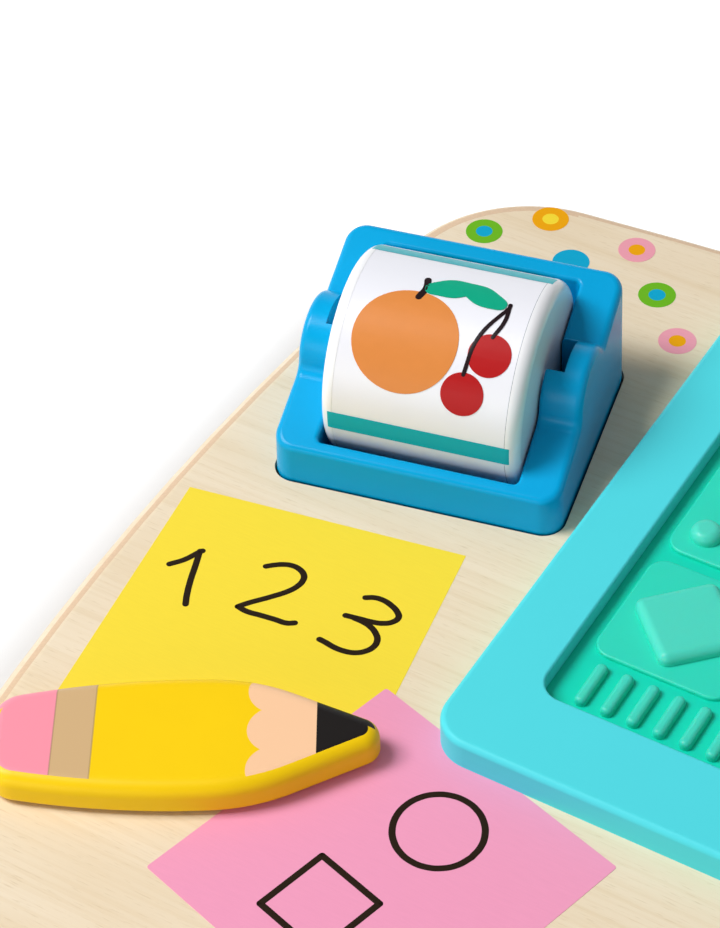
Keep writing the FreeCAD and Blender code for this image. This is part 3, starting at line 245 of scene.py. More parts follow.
def moulded(name, colour, roughness, texture, depth, mottle=0.03, **inputs):
    """Injection-moulded plastic: texture is the mould's grain in mm, depth its height in mm.
    The eye gets an even colour that is never quite flat, and a gloss that the mould's grain breaks up."""
    material, tree, shader, mm = surface(name, **inputs)
    cloud = add(tree, "ShaderNodeTexNoise", {"Vector": mm, "Scale": 1 / 22, "Detail": 3.0}).outputs[0]
    colour = mix(tree, cloud, rgba(colour, 1 - mottle), rgba(colour, 1 + mottle))
    skin = add(tree, "ShaderNodeTexNoise", {"Vector": mm, "Scale": 1 / texture, "Detail": 2.0}).outputs[0]
    shine = add(tree, "ShaderNodeMapRange", {0: skin, 3: roughness * 0.88, 4: roughness * 1.12}).outputs[0]
    bump = add(tree, "ShaderNodeBump", {"Strength": 0.5, "Distance": depth * MM, "Height": skin}).outputs[0]
    tree.links.new(colour, shader.inputs["Base Color"])
    tree.links.new(shine, shader.inputs["Roughness"])
    tree.links.new(bump, shader.inputs["Normal"])
    return material


def printed(name, colour, roughness=0.5, on_wood=True):
    """Screen-printed ink. The eye gets a flat, crisp colour in which the ground's grain barely shows."""
    material, tree, shader, mm = surface(name, Specular_IOR_Level=0.15)
    # On wood the weave of pores is 0.4 by 5 mm, on film the ink is only slightly cloudy
    fine = (1 / 5, 1 / 0.4, 1) if on_wood else (1 / 3, 1 / 3, 1 / 3)
    grain = add(tree, "ShaderNodeMapping", {"Vector": mm, "Scale": fine}).outputs[0]
    pores = add(tree, "ShaderNodeTexNoise", {"Vector": grain, "Scale": 1.0, "Detail": 3.0}).outputs[0]
    tone = mix(tree, pores, rgba(colour, 0.965), rgba(colour, 1.03))
    shine = add(tree, "ShaderNodeMapRange", {0: pores, 3: roughness - 0.05, 4: roughness + 0.05}).outputs[0]
    bump = add(tree, "ShaderNodeBump", {"Strength": 0.25, "Distance": 0.03 * MM, "Height": pores}).outputs[0]
    tree.links.new(tone, shader.inputs["Base Color"])
    tree.links.new(shine, shader.inputs["Roughness"])
    tree.links.new(bump, shader.inputs["Normal"])
    return material


def birch_plywood(look):
    """Birch plywood, sanded and clear lacquered: pale face with faint streaks along X, and on every
    edge the plies, straight and cross grain by turns. The eye gets warm fine lines and a soft sheen."""
    material, tree, shader, mm = surface("birch_plywood_lacquered", Roughness=0.5, Specular_IOR_Level=0.25)
    # Broad figure 14 mm wide, streaks 1.1 mm wide and pores 0.35 by 4 mm, drawn no finer than they show
    veins = []
    for scale, detail, distortion in (((1 / 110, 1 / 14, 1 / 14), 3.0, 0.6),
                                      ((1 / 60, 1 / 1.1, 1 / 1.1), 4.0, 0.2),
                                      ((1 / 4, 1 / 0.35, 1 / 0.35), 2.0, 0.0)):
        lines = add(tree, "ShaderNodeMapping", {"Vector": mm, "Scale": scale}).outputs[0]
        veins.append(add(tree, "ShaderNodeTexNoise", {"Vector": lines, "Scale": 1.0, "Detail": detail,
                                                      "Distortion": distortion}).outputs[0])
    figure = add(tree, "ShaderNodeMapRange", {0: veins[0], 1: 0.35, 2: 0.75, 3: 0.0, 4: 0.42}).outputs[0]
    streak = add(tree, "ShaderNodeMapRange", {0: veins[1], 1: 0.45, 2: 0.8, 3: 0.0, 4: 0.5}).outputs[0]
    pore = add(tree, "ShaderNodeMapRange", {0: veins[2], 1: 0.6, 2: 0.78, 3: 0.0, 4: 0.55}).outputs[0]
    face = rgba(look.veneer)
    for amount, level in ((figure, 1.0), (streak, 0.98), (pore, 0.86)):
        face = mix(tree, amount, face, rgba(look.grain, level))
    # Plies by depth below the top, on all that isn't level: even ones show their end grain, odd ones
    # run like the face. Under the 5 mm rounding the top veneer is sanded through
    height = add(tree, "ShaderNodeSeparateXYZ", {0: mm}).outputs[2]
    wander = add(tree, "ShaderNodeTexNoise", {"Vector": mm, "Scale": 1 / 30, "Detail": 1.0}).outputs[0]
    depth = calc(tree, "SUBTRACT", BOARD_TOP, height)
    depth = calc(tree, "MULTIPLY_ADD", wander, 0.2, depth)
    plies = calc(tree, "ADD", depth, 0.75)
    plies = calc(tree, "DIVIDE", plies, look.ply / MM)
    step = calc(tree, "PINGPONG", plies, 1.0)
    index = calc(tree, "FLOOR", plies)
    odd = calc(tree, "FLOORED_MODULO", index, 2.0)
    normal = add(tree, "ShaderNodeNewGeometry").outputs["True Normal"]
    level = add(tree, "ShaderNodeSeparateXYZ", {0: normal}).outputs[2]
    level = calc(tree, "ABSOLUTE", level)
    tilted = calc(tree, "LESS_THAN", level, 0.995)
    cross = add(tree, "ShaderNodeMath", {0: tilted, 1: odd}, operation="SUBTRACT", use_clamp=True).outputs[0]
    dust = add(tree, "ShaderNodeTexNoise", {"Vector": mm, "Scale": 1 / 0.5, "Detail": 2.0}).outputs[0]
    end = mix(tree, dust, rgba(look.end_ply, 0.9), rgba(look.end_ply, 1.12))
    wood = mix(tree, cross, face, end)
    seam = add(tree, "ShaderNodeMapRange", {0: step, 1: 0.05, 2: 0.0, 3: 0.0, 4: 0.35}).outputs[0]
    glue = calc(tree, "MULTIPLY", seam, tilted)
    wood = mix(tree, glue, wood, rgba(look.grain, 0.6))
    tree.links.new(wood, shader.inputs["Base Color"])
    relief = calc(tree, "SUBTRACT", veins[1], pore)
    bump = add(tree, "ShaderNodeBump", {"Strength": 0.35, "Distance": 0.06 * MM, "Height": relief}).outputs[0]
    tree.links.new(bump, shader.inputs["Normal"])
    return material


def steel(name, tint, roughness, lines):
    """Zinc-plated or drawn steel: lines is the spacing in mm of the tool marks along the height.
    The eye gets a grey mirror that fine marks blur one way."""
    material, tree, shader, mm = surface(name, Metallic=1.0)
    marks = add(tree, "ShaderNodeMapping", {"Vector": mm, "Scale": (1 / 9, 1 / 9, 1 / lines)}).outputs[0]
    marks = add(tree, "ShaderNodeTexNoise", {"Vector": marks, "Scale": 1.0, "Detail": 3.0}).outputs[0]
    tone = mix(tree, marks, rgba(tint, 0.85), rgba(tint, 1.1))
    shine = add(tree, "ShaderNodeMapRange", {0: marks, 3: roughness * 0.7, 4: roughness * 1.3}).outputs[0]
    bump = add(tree, "ShaderNodeBump", {"Strength": 0.3, "Distance": 0.02 * MM, "Height": marks}).outputs[0]
    tree.links.new(tone, shader.inputs["Base Color"])
    tree.links.new(shine, shader.inputs["Roughness"])
    tree.links.new(bump, shader.inputs["Normal"])
    return material


def painted_pencil(look):
    """Enamelled board with printed bands, read along the pencil from its pivot. Only the flat top is
    printed; the sides and the soft rim stay yellow. The eye gets crisp bands under a satin enamel."""
    material, tree, shader, mm = surface("enamelled_pencil", Roughness=0.38, Specular_IOR_Level=0.25)
    where = tree.nodes["Texture Coordinate"].outputs["Object"]
    x, y, _ = JOINTS["pencil_spin"]["pos_m"]
    local = add(tree, "ShaderNodeMapping", {"Vector": where, "Location": (x, y, 0), "Scale": (MM,) * 3,
                                            "Rotation": (0, 0, math.radians(30.4))},
                vector_type="TEXTURE").outputs[0]
    split = add(tree, "ShaderNodeSeparateXYZ", {0: local})
    along, across, height = split.outputs
    cloud = add(tree, "ShaderNodeTexNoise", {"Vector": mm, "Scale": 1 / 12, "Detail": 3.0}).outputs[0]
    body = mix(tree, cloud, rgba(look.body, 0.97), rgba(look.body, 1.03))
    # Collar: three scallops 10 mm wide and 2.8 mm deep, arcs of 5.9 mm radius
    lobe = calc(tree, "PINGPONG", across, 5.0)
    lobe = calc(tree, "POWER", lobe, 2.0)
    arc = calc(tree, "SUBTRACT", 34.8, lobe)
    arc = calc(tree, "SQRT", arc)
    edge = calc(tree, "SUBTRACT", 18.1, arc)
    past = calc(tree, "GREATER_THAN", along, edge)
    top = mix(tree, past, body, rgba(look.wood))
    dark = calc(tree, "GREATER_THAN", along, look.point_starts / MM)
    top = mix(tree, dark, top, rgba(look.point))
    for end, colour in ((look.ferrule_ends, look.ferrule), (look.rubber_ends, look.rubber)):
        behind = calc(tree, "LESS_THAN", along, -end / MM)
        top = mix(tree, behind, top, rgba(colour))
    for end in (look.ferrule_ends, look.rubber_ends):
        line = calc(tree, "COMPARE", along, -end / MM, 0.16)
        line = calc(tree, "MULTIPLY", line, 0.5)
        top = mix(tree, line, top, rgba(look.ferrule, 0.45))
    # The print sits a little towards the back, so there it runs 0.9 mm down the rounding
    normal = add(tree, "ShaderNodeNewGeometry").outputs["Normal"]
    behind = add(tree, "ShaderNodeVectorMath", {0: normal, 1: (-0.454, 0.891, 0)},
                 operation="DOT_PRODUCT").outputs[1]
    behind = calc(tree, "GREATER_THAN", behind, 0.1)
    top_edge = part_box("pencil")[1].z / MM
    limit = add(tree, "ShaderNodeMapRange", {0: behind, 3: top_edge - 0.1, 4: top_edge - 0.9}).outputs[0]
    flat = calc(tree, "GREATER_THAN", height, limit)
    skin = mix(tree, flat, body, top)
    tree.links.new(skin, shader.inputs["Base Color"])
    orange = add(tree, "ShaderNodeTexNoise", {"Vector": mm, "Scale": 1 / 1.2, "Detail": 2.0}).outputs[0]
    bump = add(tree, "ShaderNodeBump", {"Strength": 0.3, "Distance": 0.02 * MM, "Height": orange}).outputs[0]
    tree.links.new(bump, shader.inputs["Normal"])
    return material


def dress(material, *nodes):
    """Give CAD nodes their finish."""
    for name in nodes:
        for place in frame["nodes"][name].material_slots:
            place.material = material


# Modelling

def alone(*objects):
    """Object mode with only these objects selected, the first one active."""
    if bpy.context.object and bpy.context.object.mode != "OBJECT":
        bpy.ops.object.mode_set(mode="OBJECT")
    bpy.ops.object.select_all(action="DESELECT")
    for obj in objects:
        obj.select_set(True)
    if objects:
        bpy.context.view_layer.objects.active = objects[0]


def edit(obj, pick="SELECT"):
    """Edit mode on one object, with all or nothing selected."""
    alone(obj)
    bpy.ops.object.mode_set(mode="EDIT")
    bpy.ops.mesh.select_all(action=pick)


def thicken(obj, thickness):
    """Turn a flat sheet into a closed one, its lower side where the sheet was."""
    alone(obj)
    bpy.ops.object.transform_apply(location=False, rotation=True, scale=True)
    bpy.ops.object.modifier_add(type="SOLIDIFY")
    obj.modifiers[-1].thickness = thickness
    obj.modifiers[-1].offset = 1
    obj.modifiers[-1].use_even_offset = True
    bpy.ops.object.modifier_apply(modifier=obj.modifiers[-1].name)


def merge(*objects):
    """Join pieces into the first one."""
    if len(objects) > 1:
        alone(*objects)
        bpy.ops.object.join()
    return objects[0]


def ready(obj, name, body, slot, *materials):
    """Name a finished piece, settle its place into its mesh, give it its finish and its body."""
    alone(obj)
    bpy.ops.object.transform_apply(location=True, rotation=True, scale=True)
    bpy.ops.object.shade_smooth_by_angle(angle=math.radians(30))
    obj.name = obj.data.name = name
    obj.data.materials.clear()
    for material in materials:
        obj.data.materials.append(material)
    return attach(obj, body)


def disc(x, y, z, radius, thick):
    """A thin round piece, all in mm."""
    alone()
    bpy.ops.mesh.primitive_circle_add(vertices=64, radius=radius * MM, fill_type="NGON",
                                      location=(x * MM, y * MM, z * MM))
    obj = bpy.context.object
    thicken(obj, thick * MM)
    return obj


def sheet(x, y, z, width, depth, thick, turn=0.0, corner=0.6):
    """A thin rectangular piece with slightly soft corners, all in mm."""
    alone()
    bpy.ops.mesh.primitive_plane_add(size=1, location=(x * MM, y * MM, z * MM))
    obj = bpy.context.object
    obj.scale = (width * MM, depth * MM, 1)
    obj.rotation_euler.z = math.radians(turn)
    bpy.ops.object.transform_apply(location=False, rotation=True, scale=True)
    edit(obj)
    bpy.ops.mesh.bevel(offset=corner * MM, segments=4, affect="VERTICES")
    bpy.ops.object.mode_set(mode="OBJECT")
    thicken(obj, thick * MM)
    return obj


def curve(points, closed=False, smooth=True):
    """A Bezier curve through points in mm, lying at z = 0."""
    alone()
    bpy.ops.curve.primitive_bezier_curve_add(location=(0, 0, 0))
    obj = bpy.context.object
    line = obj.data.splines[0]
    line.bezier_points.add(len(points) - 2)
    for knot, (x, y) in zip(line.bezier_points, points):
        knot.co = (x * MM, y * MM, 0)
        knot.handle_left_type = knot.handle_right_type = "AUTO" if smooth else "VECTOR"
    line.use_cyclic_u = closed
    line.resolution_u = 10
    return obj


def to_mesh(obj):
    """Turn a curve or text into a mesh with shared corners."""
    alone(obj)
    bpy.ops.object.convert(target="MESH")
    edit(obj)
    bpy.ops.mesh.remove_doubles(threshold=0.002 * MM)
    bpy.ops.mesh.normals_make_consistent(inside=False)
    bpy.ops.object.mode_set(mode="OBJECT")
    return obj


def patch(points, z, thick, smooth=True):
    """A thin filled shape inside a closed outline, all in mm."""
    obj = curve(points, closed=True, smooth=smooth)
    obj.data.dimensions = "2D"
    obj.data.fill_mode = "BOTH"
    obj.data.extrude = thick * MM / 2
    obj.location.z = (z + thick / 2) * MM
    return to_mesh(obj)


def stroke(points, width, z, thick):
    """A written line with round ends: a tube and two balls pressed flat, all in mm."""
    line = curve(points)
    line.data.dimensions = "3D"
    line.data.bevel_depth = width * MM / 2
    line.data.bevel_resolution = 5
    line.data.use_fill_caps = True
    pieces = [to_mesh(line)]
    for x, y in (points[0], points[-1]):
        alone()
        bpy.ops.mesh.primitive_uv_sphere_add(segments=20, ring_count=12, radius=width * MM / 2,
                                             location=(x * MM, y * MM, 0))
        pieces.append(bpy.context.object)
    obj = merge(*pieces)
    alone(obj)
    bpy.ops.object.transform_apply(location=True, rotation=True, scale=True)
    obj.scale.z = thick / width
    obj.location.z = (z + thick / 2) * MM
    bpy.ops.object.transform_apply(location=True, rotation=True, scale=True)
    return obj


def words(text, height, z, thick):
    """Lettering centred on the origin, all in mm."""
    alone()
    bpy.ops.object.text_add(location=(0, 0, 0))
    obj = bpy.context.object
    obj.data.body = text
    obj.data.size = height * MM / 0.72
    obj.data.align_x = "CENTER"
    obj.data.align_y = "CENTER"
    obj.data.extrude = thick * MM / 2
    obj.data.resolution_u = 6
    obj = to_mesh(obj)
    obj.location.z = (z + thick / 2) * MM
    return obj


def shift(obj, x, y, turn=0.0):
    """Turn a piece about the origin by degrees, then move it by mm."""
    obj.data.transform(Matrix.Translation((x * MM, y * MM, 0)) @ Matrix.Rotation(math.radians(turn), 4, "Z")
                       @ obj.matrix_basis)
    obj.matrix_basis = Matrix.Identity(4)
    return obj


# Board

def make_plywood(look):
    """Board and feet."""
    dress(birch_plywood(look), "board")
    # EPDM rubber pads, punched from sheet: nearly black, with a dusty matt skin
    dress(moulded("punched_epdm_rubber", linear("#2B2B2D"), 0.75, 0.6, 0.05, 0.12), "rubber_feet")


def make_notes(look):
    """Two square notes printed on the wood, the pink one over the yellow one's edge."""
    side = look.note / MM
    ink = look.ink / MM
    yellow = patch([(-194.96, -1.86), (-132.4, 9.37), (-122.2, -53.5), (-186.2, -64.96)], BOARD_TOP, ink,
                   smooth=False)
    ready(yellow, "note_yellow", "base", "label_print", printed("yellow_ink_on_birch", look.yellow_note))
    pink = sheet(-106.3, -69.9, BOARD_TOP, side, side, ink * 1.5, -15.7)
    ready(pink, "note_pink", "base", "label_print", printed("pink_ink_on_birch", look.pink_note))


DIGITS = {
    "digit_1": [[(-186.02, -23.28), (-183.96, -20.67), (-182.39, -17.29), (-182.01, -16.66)],
                [(-182.45, -16.98), (-181.1, -20.6), (-179.41, -25.35), (-177.78, -29.14),
                 (-176.68, -31.23)]],
    "digit_2": [[(-167.78, -13.87), (-166.38, -12.64), (-164.85, -11.62), (-163.34, -11.06),
                 (-161.48, -11.06), (-159.41, -12.16), (-158.79, -13.66), (-158.97, -15.6),
                 (-159.71, -17.36), (-162.19, -20.76), (-165.52, -24.72), (-166.75, -26.45)],
                [(-166.75, -26.45), (-164.52, -26.72), (-161.46, -26.27), (-158.1, -25.79),
                 (-155.29, -25.41), (-153.98, -24.59)]],
    "digit_3": [[(-144.79, -11.33), (-143.2, -10.44), (-141.26, -10.16), (-138.87, -10.64),
                 (-136.96, -11.58), (-135.94, -12.81), (-136.34, -14.42), (-137.93, -15.78),
                 (-140.16, -16.56), (-142.32, -16.97), (-143.94, -17.27), (-145.83, -17.65)],
                [(-143.85, -17.42), (-141.74, -17.44), (-139.68, -17.87), (-137.9, -18.85),
                 (-136.6, -20.29), (-136.31, -22.28), (-137.14, -24.11), (-138.7, -25.49),
                 (-140.93, -26.23), (-143.25, -26.36), (-145.84, -26.04), (-147.09, -25.96)]],
}


def make_digits(look):
    """The digits 1, 2 and 3 written on the yellow note, and plain outlines on the pink one."""
    ink = look.ink / MM
    pen = look.stroke / MM
    black = printed("brown_black_ink", look.writing, 0.45)
    for name, lines in DIGITS.items():
        piece = merge(*[stroke(line, pen, BOARD_TOP + ink * 0.9, ink * 1.2) for line in lines])
        ready(piece, name, "base", "label_print", black)
    over = BOARD_TOP + ink * 1.4
    circle = [(9 * math.cos(a), 9 * math.sin(a)) for a in (math.radians(d) for d in range(0, 361, 20))]
    square = [(-8, -8), (8, -8), (8, 8), (-8, 8), (-8, -8)]
    for name, x, y, points in (("outline_circle", -101.0, -57.0, circle),
                               ("outline_square", -112.0, -83.0, square)):
        if points is circle:
            piece = stroke(points, pen, over, ink * 1.2)
        else:
            piece = merge(*[stroke([a, b], pen, over, ink * 1.2) for a, b in zip(points, points[1:])])
        ready(shift(piece, x, y, -15.7), name, "base", "label_print", black)


RING_INKS = {"green": "#6CB61C", "blue": "#00A6CE", "orange": "#F0A600", "yellow": "#F8DB36",
             "pink": "#F0A0AF"}
# Place on the board, ring and middle
RINGS = [
    (-181.0, 104.3, "green", "blue"), (-169.3, 115.9, "orange", "yellow"), (-157.7, 104.4, "blue", "blue"),
    (-146.1, 115.7, "pink", "orange"), (-134.7, 103.6, "green", "blue"), (-123.5, 91.6, "pink", "orange"),
    (181.0, 104.3, "orange", "yellow"), (169.3, 115.9, "green", "blue"), (157.7, 104.4, "pink", "orange"),
    (146.1, 115.7, "blue", "blue"),
]


def make_rings(look):
    """A trail of printed rings along the back corners: a disc with a smaller one set in it."""
    inks = {name: printed(f"{name}_ink_on_birch", linear(text)) for name, text in RING_INKS.items()}
    radius = look.ring / MM / 2
    for number, (x, y, outer, middle) in enumerate(RINGS, start=1):
        alone()
        bpy.ops.mesh.primitive_circle_add(vertices=64, radius=radius * MM, fill_type="NGON",
                                          location=(x * MM, y * MM, BOARD_TOP * MM))
        ring = bpy.context.object
        ring.data.materials.append(inks[outer])
        ring.data.materials.append(inks[middle])
        edit(ring)
        bpy.ops.mesh.inset(thickness=radius * 0.55 * MM)
        ring.active_material_index = 1
        bpy.ops.object.material_slot_assign()
        bpy.ops.object.mode_set(mode="OBJECT")
        thicken(ring, look.ink)
        alone(ring)
        bpy.ops.object.transform_apply(location=True, rotation=True, scale=True)
        ring.name = ring.data.name = f"ring_{number}"
        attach(ring, "base")


# Roller

def make_case(look):
    """Blue case, tray and axle."""
    # ABS from a polished mould: wet-looking blue whose edges carry a thin light line
    dress(moulded("polished_abs_blue", look.case, 0.25, 9.0, 0.03, 0.02, Specular_IOR_Level=0.14),
          "roller_housing")
    # The same ABS from a sand-blasted mould side
    dress(moulded("matt_abs_blue", look.case, 0.55, 0.5, 0.04, 0.03), "roller_tray")
    # Bright-drawn steel rod
    dress(steel("bright_drawn_steel", linear("#C9CACC"), 0.22, 0.5), "roller_axle", "pencil_pin",
          "clock_spindle")


def make_drum(look):
    """White drum with its caps and sleeve."""
    # ABS, polished: porcelain white with a clear highlight on the caps' soft edge
    dress(moulded("polished_abs_white", look.drum, 0.22, 8.0, 0.02, 0.012, Specular_IOR_Level=0.4),
          "roller_barrel", "roller_cap_left", "roller_cap_right")
    # Printed polypropylene film: slightly cool white, satin
    dress(moulded("polypropylene_film_white", look.sleeve, 0.33, 2.5, 0.008, 0.01), "roller_label")


def round_drum(obj, look, middle, lift=0.0):
    """Cut a flat picture into strips 2 mm high and lay it round the drum. Its X runs along the axle,
    its Y up the picture, and its origin comes to the given angle from the top, towards the front."""
    edit(obj)
    low = min(v.co.y for v in obj.data.vertices) / MM
    high = max(v.co.y for v in obj.data.vertices) / MM
    for step in range(math.ceil(low / 2), math.floor(high / 2) + 1):
        bpy.ops.mesh.select_all(action="SELECT")
        bpy.ops.mesh.bisect(plane_co=(0, step * 2 * MM, 0), plane_no=(0, 1, 0))
    # The picture is also cut 19.45 and 19.7 mm to either side, where it starts down the caps' rounding
    for step in (-2, -1, 1, 2):
        bpy.ops.mesh.select_all(action="SELECT")
        bpy.ops.mesh.bisect(plane_co=((19.2 + 0.25 * abs(step)) * MM * math.copysign(1, step), 0, 0),
                            plane_no=(1, 0, 0))
    bpy.ops.object.mode_set(mode="OBJECT")
    joint = JOINTS["roller_spin"]
    turn = math.atan2(joint["axis"][1], joint["axis"][0])
    place = Matrix.Translation(joint["pos_m"]) @ Matrix.Rotation(turn, 4, "Z")
    for vertex in obj.data.vertices:
        u, v, w = vertex.co
        angle = math.radians(middle) - v / look.radius
        past = max(0.0, abs(u) / MM - CAP_EDGE)
        reach = look.radius + w + (lift - (CAP_ROUND - math.sqrt(CAP_ROUND ** 2 - past ** 2))) * MM
        vertex.co = place @ Vector((u, -reach * math.sin(angle), reach * math.cos(angle)))
    return obj


def make_pictures(look):
    """Three fruit pictures round the drum, each over a stripe."""
    # The grey below is painted shade of the gap between the sleeve and its right cap, not a print
    film = {name: printed(f"{name}_ink_on_film", colour, 0.33, False) for name, colour in (
        ("orange", look.fruit), ("red", look.red), ("leaf_green", look.leaf), ("teal", look.band),
        ("stalk", look.stalk), ("grey", linear("#9A9EA6")))}
    t = 0.04
    height = look.picture / MM
    leaf = [(0, 0), (3.2, 2.6), (8.2, 2.9), (11.5, 0.6), (8.4, -1.9), (3.6, -1.9)]
    pear = [(0, 11.5), (3.4, 9.8), (4.9, 4.2), (8.9, -0.8), (9.6, -7.2), (5.6, -12.6), (0, -14),
            (-5.6, -12.6), (-9.6, -7.2), (-8.9, -0.8), (-4.9, 4.2), (-3.4, 9.8)]
    apple = [(0, 7.2), (3.6, 9.0), (8.6, 7.4), (10.8, 1.6), (8.4, -6.6), (3.6, -10.2), (0, -9.2),
             (-3.6, -10.2), (-8.4, -6.6), (-10.8, 1.6), (-8.6, 7.4), (-3.6, 9.0)]
    middle = 38.0
    panels = [
        (middle, [
            ("orange", shift(disc(0, 0, t, 11.6, t), -5.4, 0.4)),
            ("stalk", shift(stroke([(0, 0), (0.8, 2.6), (0.4, 5.2)], 1.5, 2 * t, t), -5.2, 10.6)),
            ("leaf_green", shift(patch(leaf, 2 * t, t), -4.6, 13.0, 12)),
            ("red", shift(disc(0, 0, t, 4.7, t), 9.0, -8.6)),
            ("red", shift(disc(0, 0, t, 4.7, t), 13.2, 0.6)),
            ("stalk", shift(stroke([(0, 0), (1.2, 8), (5.6, 16.5)], 0.9, 2 * t, t), 8.6, -4.4)),
            ("stalk", shift(stroke([(0, 0), (1.4, 4), (1.4, 8.6)], 0.9, 2 * t, t), 12.9, 4.6)),
            ("leaf_green", shift(patch(leaf, 3 * t, t), 13.6, 12.4, 158)),
        ]),
        (middle + 120, [
            ("red", shift(patch(apple, t, t), 0, 1.0)),
            ("stalk", shift(stroke([(0, 0), (0.4, 2.6), (1.8, 5.4)], 1.5, 2 * t, t), 0, 7.6)),
            ("leaf_green", shift(patch(leaf, 2 * t, t), 1.4, 12.4, -6)),
        ]),
        (middle - 120, [
            ("leaf_green", shift(patch(pear, t, t), -5, 0.6, 8)),
            ("stalk", shift(stroke([(0, 0), (0.8, 2.4), (2.2, 4.6)], 1.4, 2 * t, t), -6.4, 11.8)),
            ("orange", shift(disc(0, 0, t, 6.6, t), 9.4, -6.2)),
            ("stalk", shift(stroke([(0, 0), (0.4, 2.8)], 1.2, 2 * t, t), 9.4, -0.2)),
        ]),
    ]
    for number, (angle, pieces) in enumerate(panels, start=1):
        stripe = sheet(0, -height / 2 + 2.5, t, 40.6, 4.7, t, corner=0.2)
        # Painted shade: a thin grey strip along the sleeve's right edge, where the gap to the cap lies
        joint = sheet(19.25, 0, t / 2, 0.14, height, t / 2, corner=0.02)
        for name, piece in (("teal", stripe), ("grey", joint)):
            alone(piece)
            bpy.ops.object.transform_apply(location=True, rotation=True, scale=True)
            pieces.append((name, piece))
        for ink in film:
            same = [piece for name, piece in pieces if name == ink]
            if same:
                whole = round_drum(merge(*same), look, angle, 0.01)
                ready(whole, f"picture_{number}_{ink}", "drum", "label_print", film[ink])


# Tablet, pencil, clock, mouse and keys

def make_tablet(look):
    """Turquoise frame and green pad."""
    # ABS from an etched mould: matt, with a grain of 0.35 mm
    dress(moulded("etched_abs_turquoise", look.frame, 0.42, 0.6, 0.02, 0.015, Specular_IOR_Level=0.16),
          "tablet_frame")
    # Thermoplastic rubber: soft satin, light sinks in a little at its edges
    rubber = moulded("thermoplastic_rubber_green", look.pad, 0.36, 1.2, 0.02, 0.02, Subsurface_Weight=0.25,
                     Subsurface_Scale=0.003, Specular_IOR_Level=0.3)
    # Painted sheen: the pad's tops are painted paler with height to match what is seen,
    # a third of the way on the tiles, all the way on the icons
    tree = rubber.node_tree
    shade = tree.nodes["Principled BSDF"].inputs["Base Color"]
    height = add(tree, "ShaderNodeSeparateXYZ", {0: tree.nodes["Mapping"].outputs[0]}).outputs[2]
    raised = add(tree, "ShaderNodeMapRange", {0: height, 1: BOARD_TOP + 3.2, 2: BOARD_TOP + 5.5}).outputs[0]
    shade = mix(tree, raised, shade.links[0].from_socket, rgba(look.raised))
    tree.links.new(shade, tree.nodes["Principled BSDF"].inputs["Base Color"])
    dress(rubber, "tablet_pad")


def make_pencil(look):
    """Painted pencil and its washer."""
    dress(painted_pencil(look), "pencil")
    # Natural nylon: milky, slightly waxy
    dress(moulded("natural_nylon", linear("#EDE8DA"), 0.45, 2.0, 0.02, 0.02, Subsurface_Weight=0.2,
                  Subsurface_Scale=0.001), "pencil_washer", "mouse_guide")


def make_clock(look):
    """Dial with rim, ticks and hours, and two hands."""
    dress(moulded("painted_board_cream", look.dial, 0.45, 1.4, 0.02, 0.02), "clock_dial")
    dress(moulded("polished_abs_red", look.hour, 0.25, 8.0, 0.02, 0.02), "hour_hand")
    dress(moulded("polished_abs_royal_blue", look.minute, 0.25, 8.0, 0.02, 0.02), "minute_hand")
    low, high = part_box("clock_dial")
    x, y, z = (low.x + high.x) / 2 / MM, (low.y + high.y) / 2 / MM, high.z / MM
    ink = 0.05
    rim_ink = printed("teal_ink_on_dial", look.dial_rim, 0.45, False)
    black = printed("black_ink_on_dial", linear("#1C1A1E"), 0.45, False)
    alone()
    bpy.ops.mesh.primitive_circle_add(vertices=128, radius=44.2 * MM, fill_type="NGON",
                                      location=(x * MM, y * MM, z * MM))
    rim = bpy.context.object
    edit(rim)
    bpy.ops.mesh.inset(thickness=3.0 * MM)
    bpy.ops.mesh.delete(type="FACE")
    bpy.ops.object.mode_set(mode="OBJECT")
    thicken(rim, ink * MM)
    ready(rim, "clock_rim_print", "base", "dial_paint", rim_ink)
    ticks = []
    for minute in range(60):
        long = minute % 5 == 0
        tick = sheet(0, 38.6 if long else 39.2, z, 1.3 if long else 0.7, 3.2 if long else 2.0, ink,
                     corner=0.2)
        alone(tick)
        bpy.ops.object.transform_apply(location=True, rotation=True, scale=True)
        ticks.append(shift(tick, x, y, -6 * minute))
    ready(merge(*ticks), "clock_ticks", "base", "dial_paint", black)
    hours = []
    for hour in range(1, 13):
        angle = math.radians(90 - 30 * hour)
        hours.append(shift(words(str(hour), 6.6, z, ink), x + 31.0 * math.cos(angle),
                           y + 31.0 * math.sin(angle)))
    ready(merge(*hours), "clock_hours", "base", "dial_paint", black)


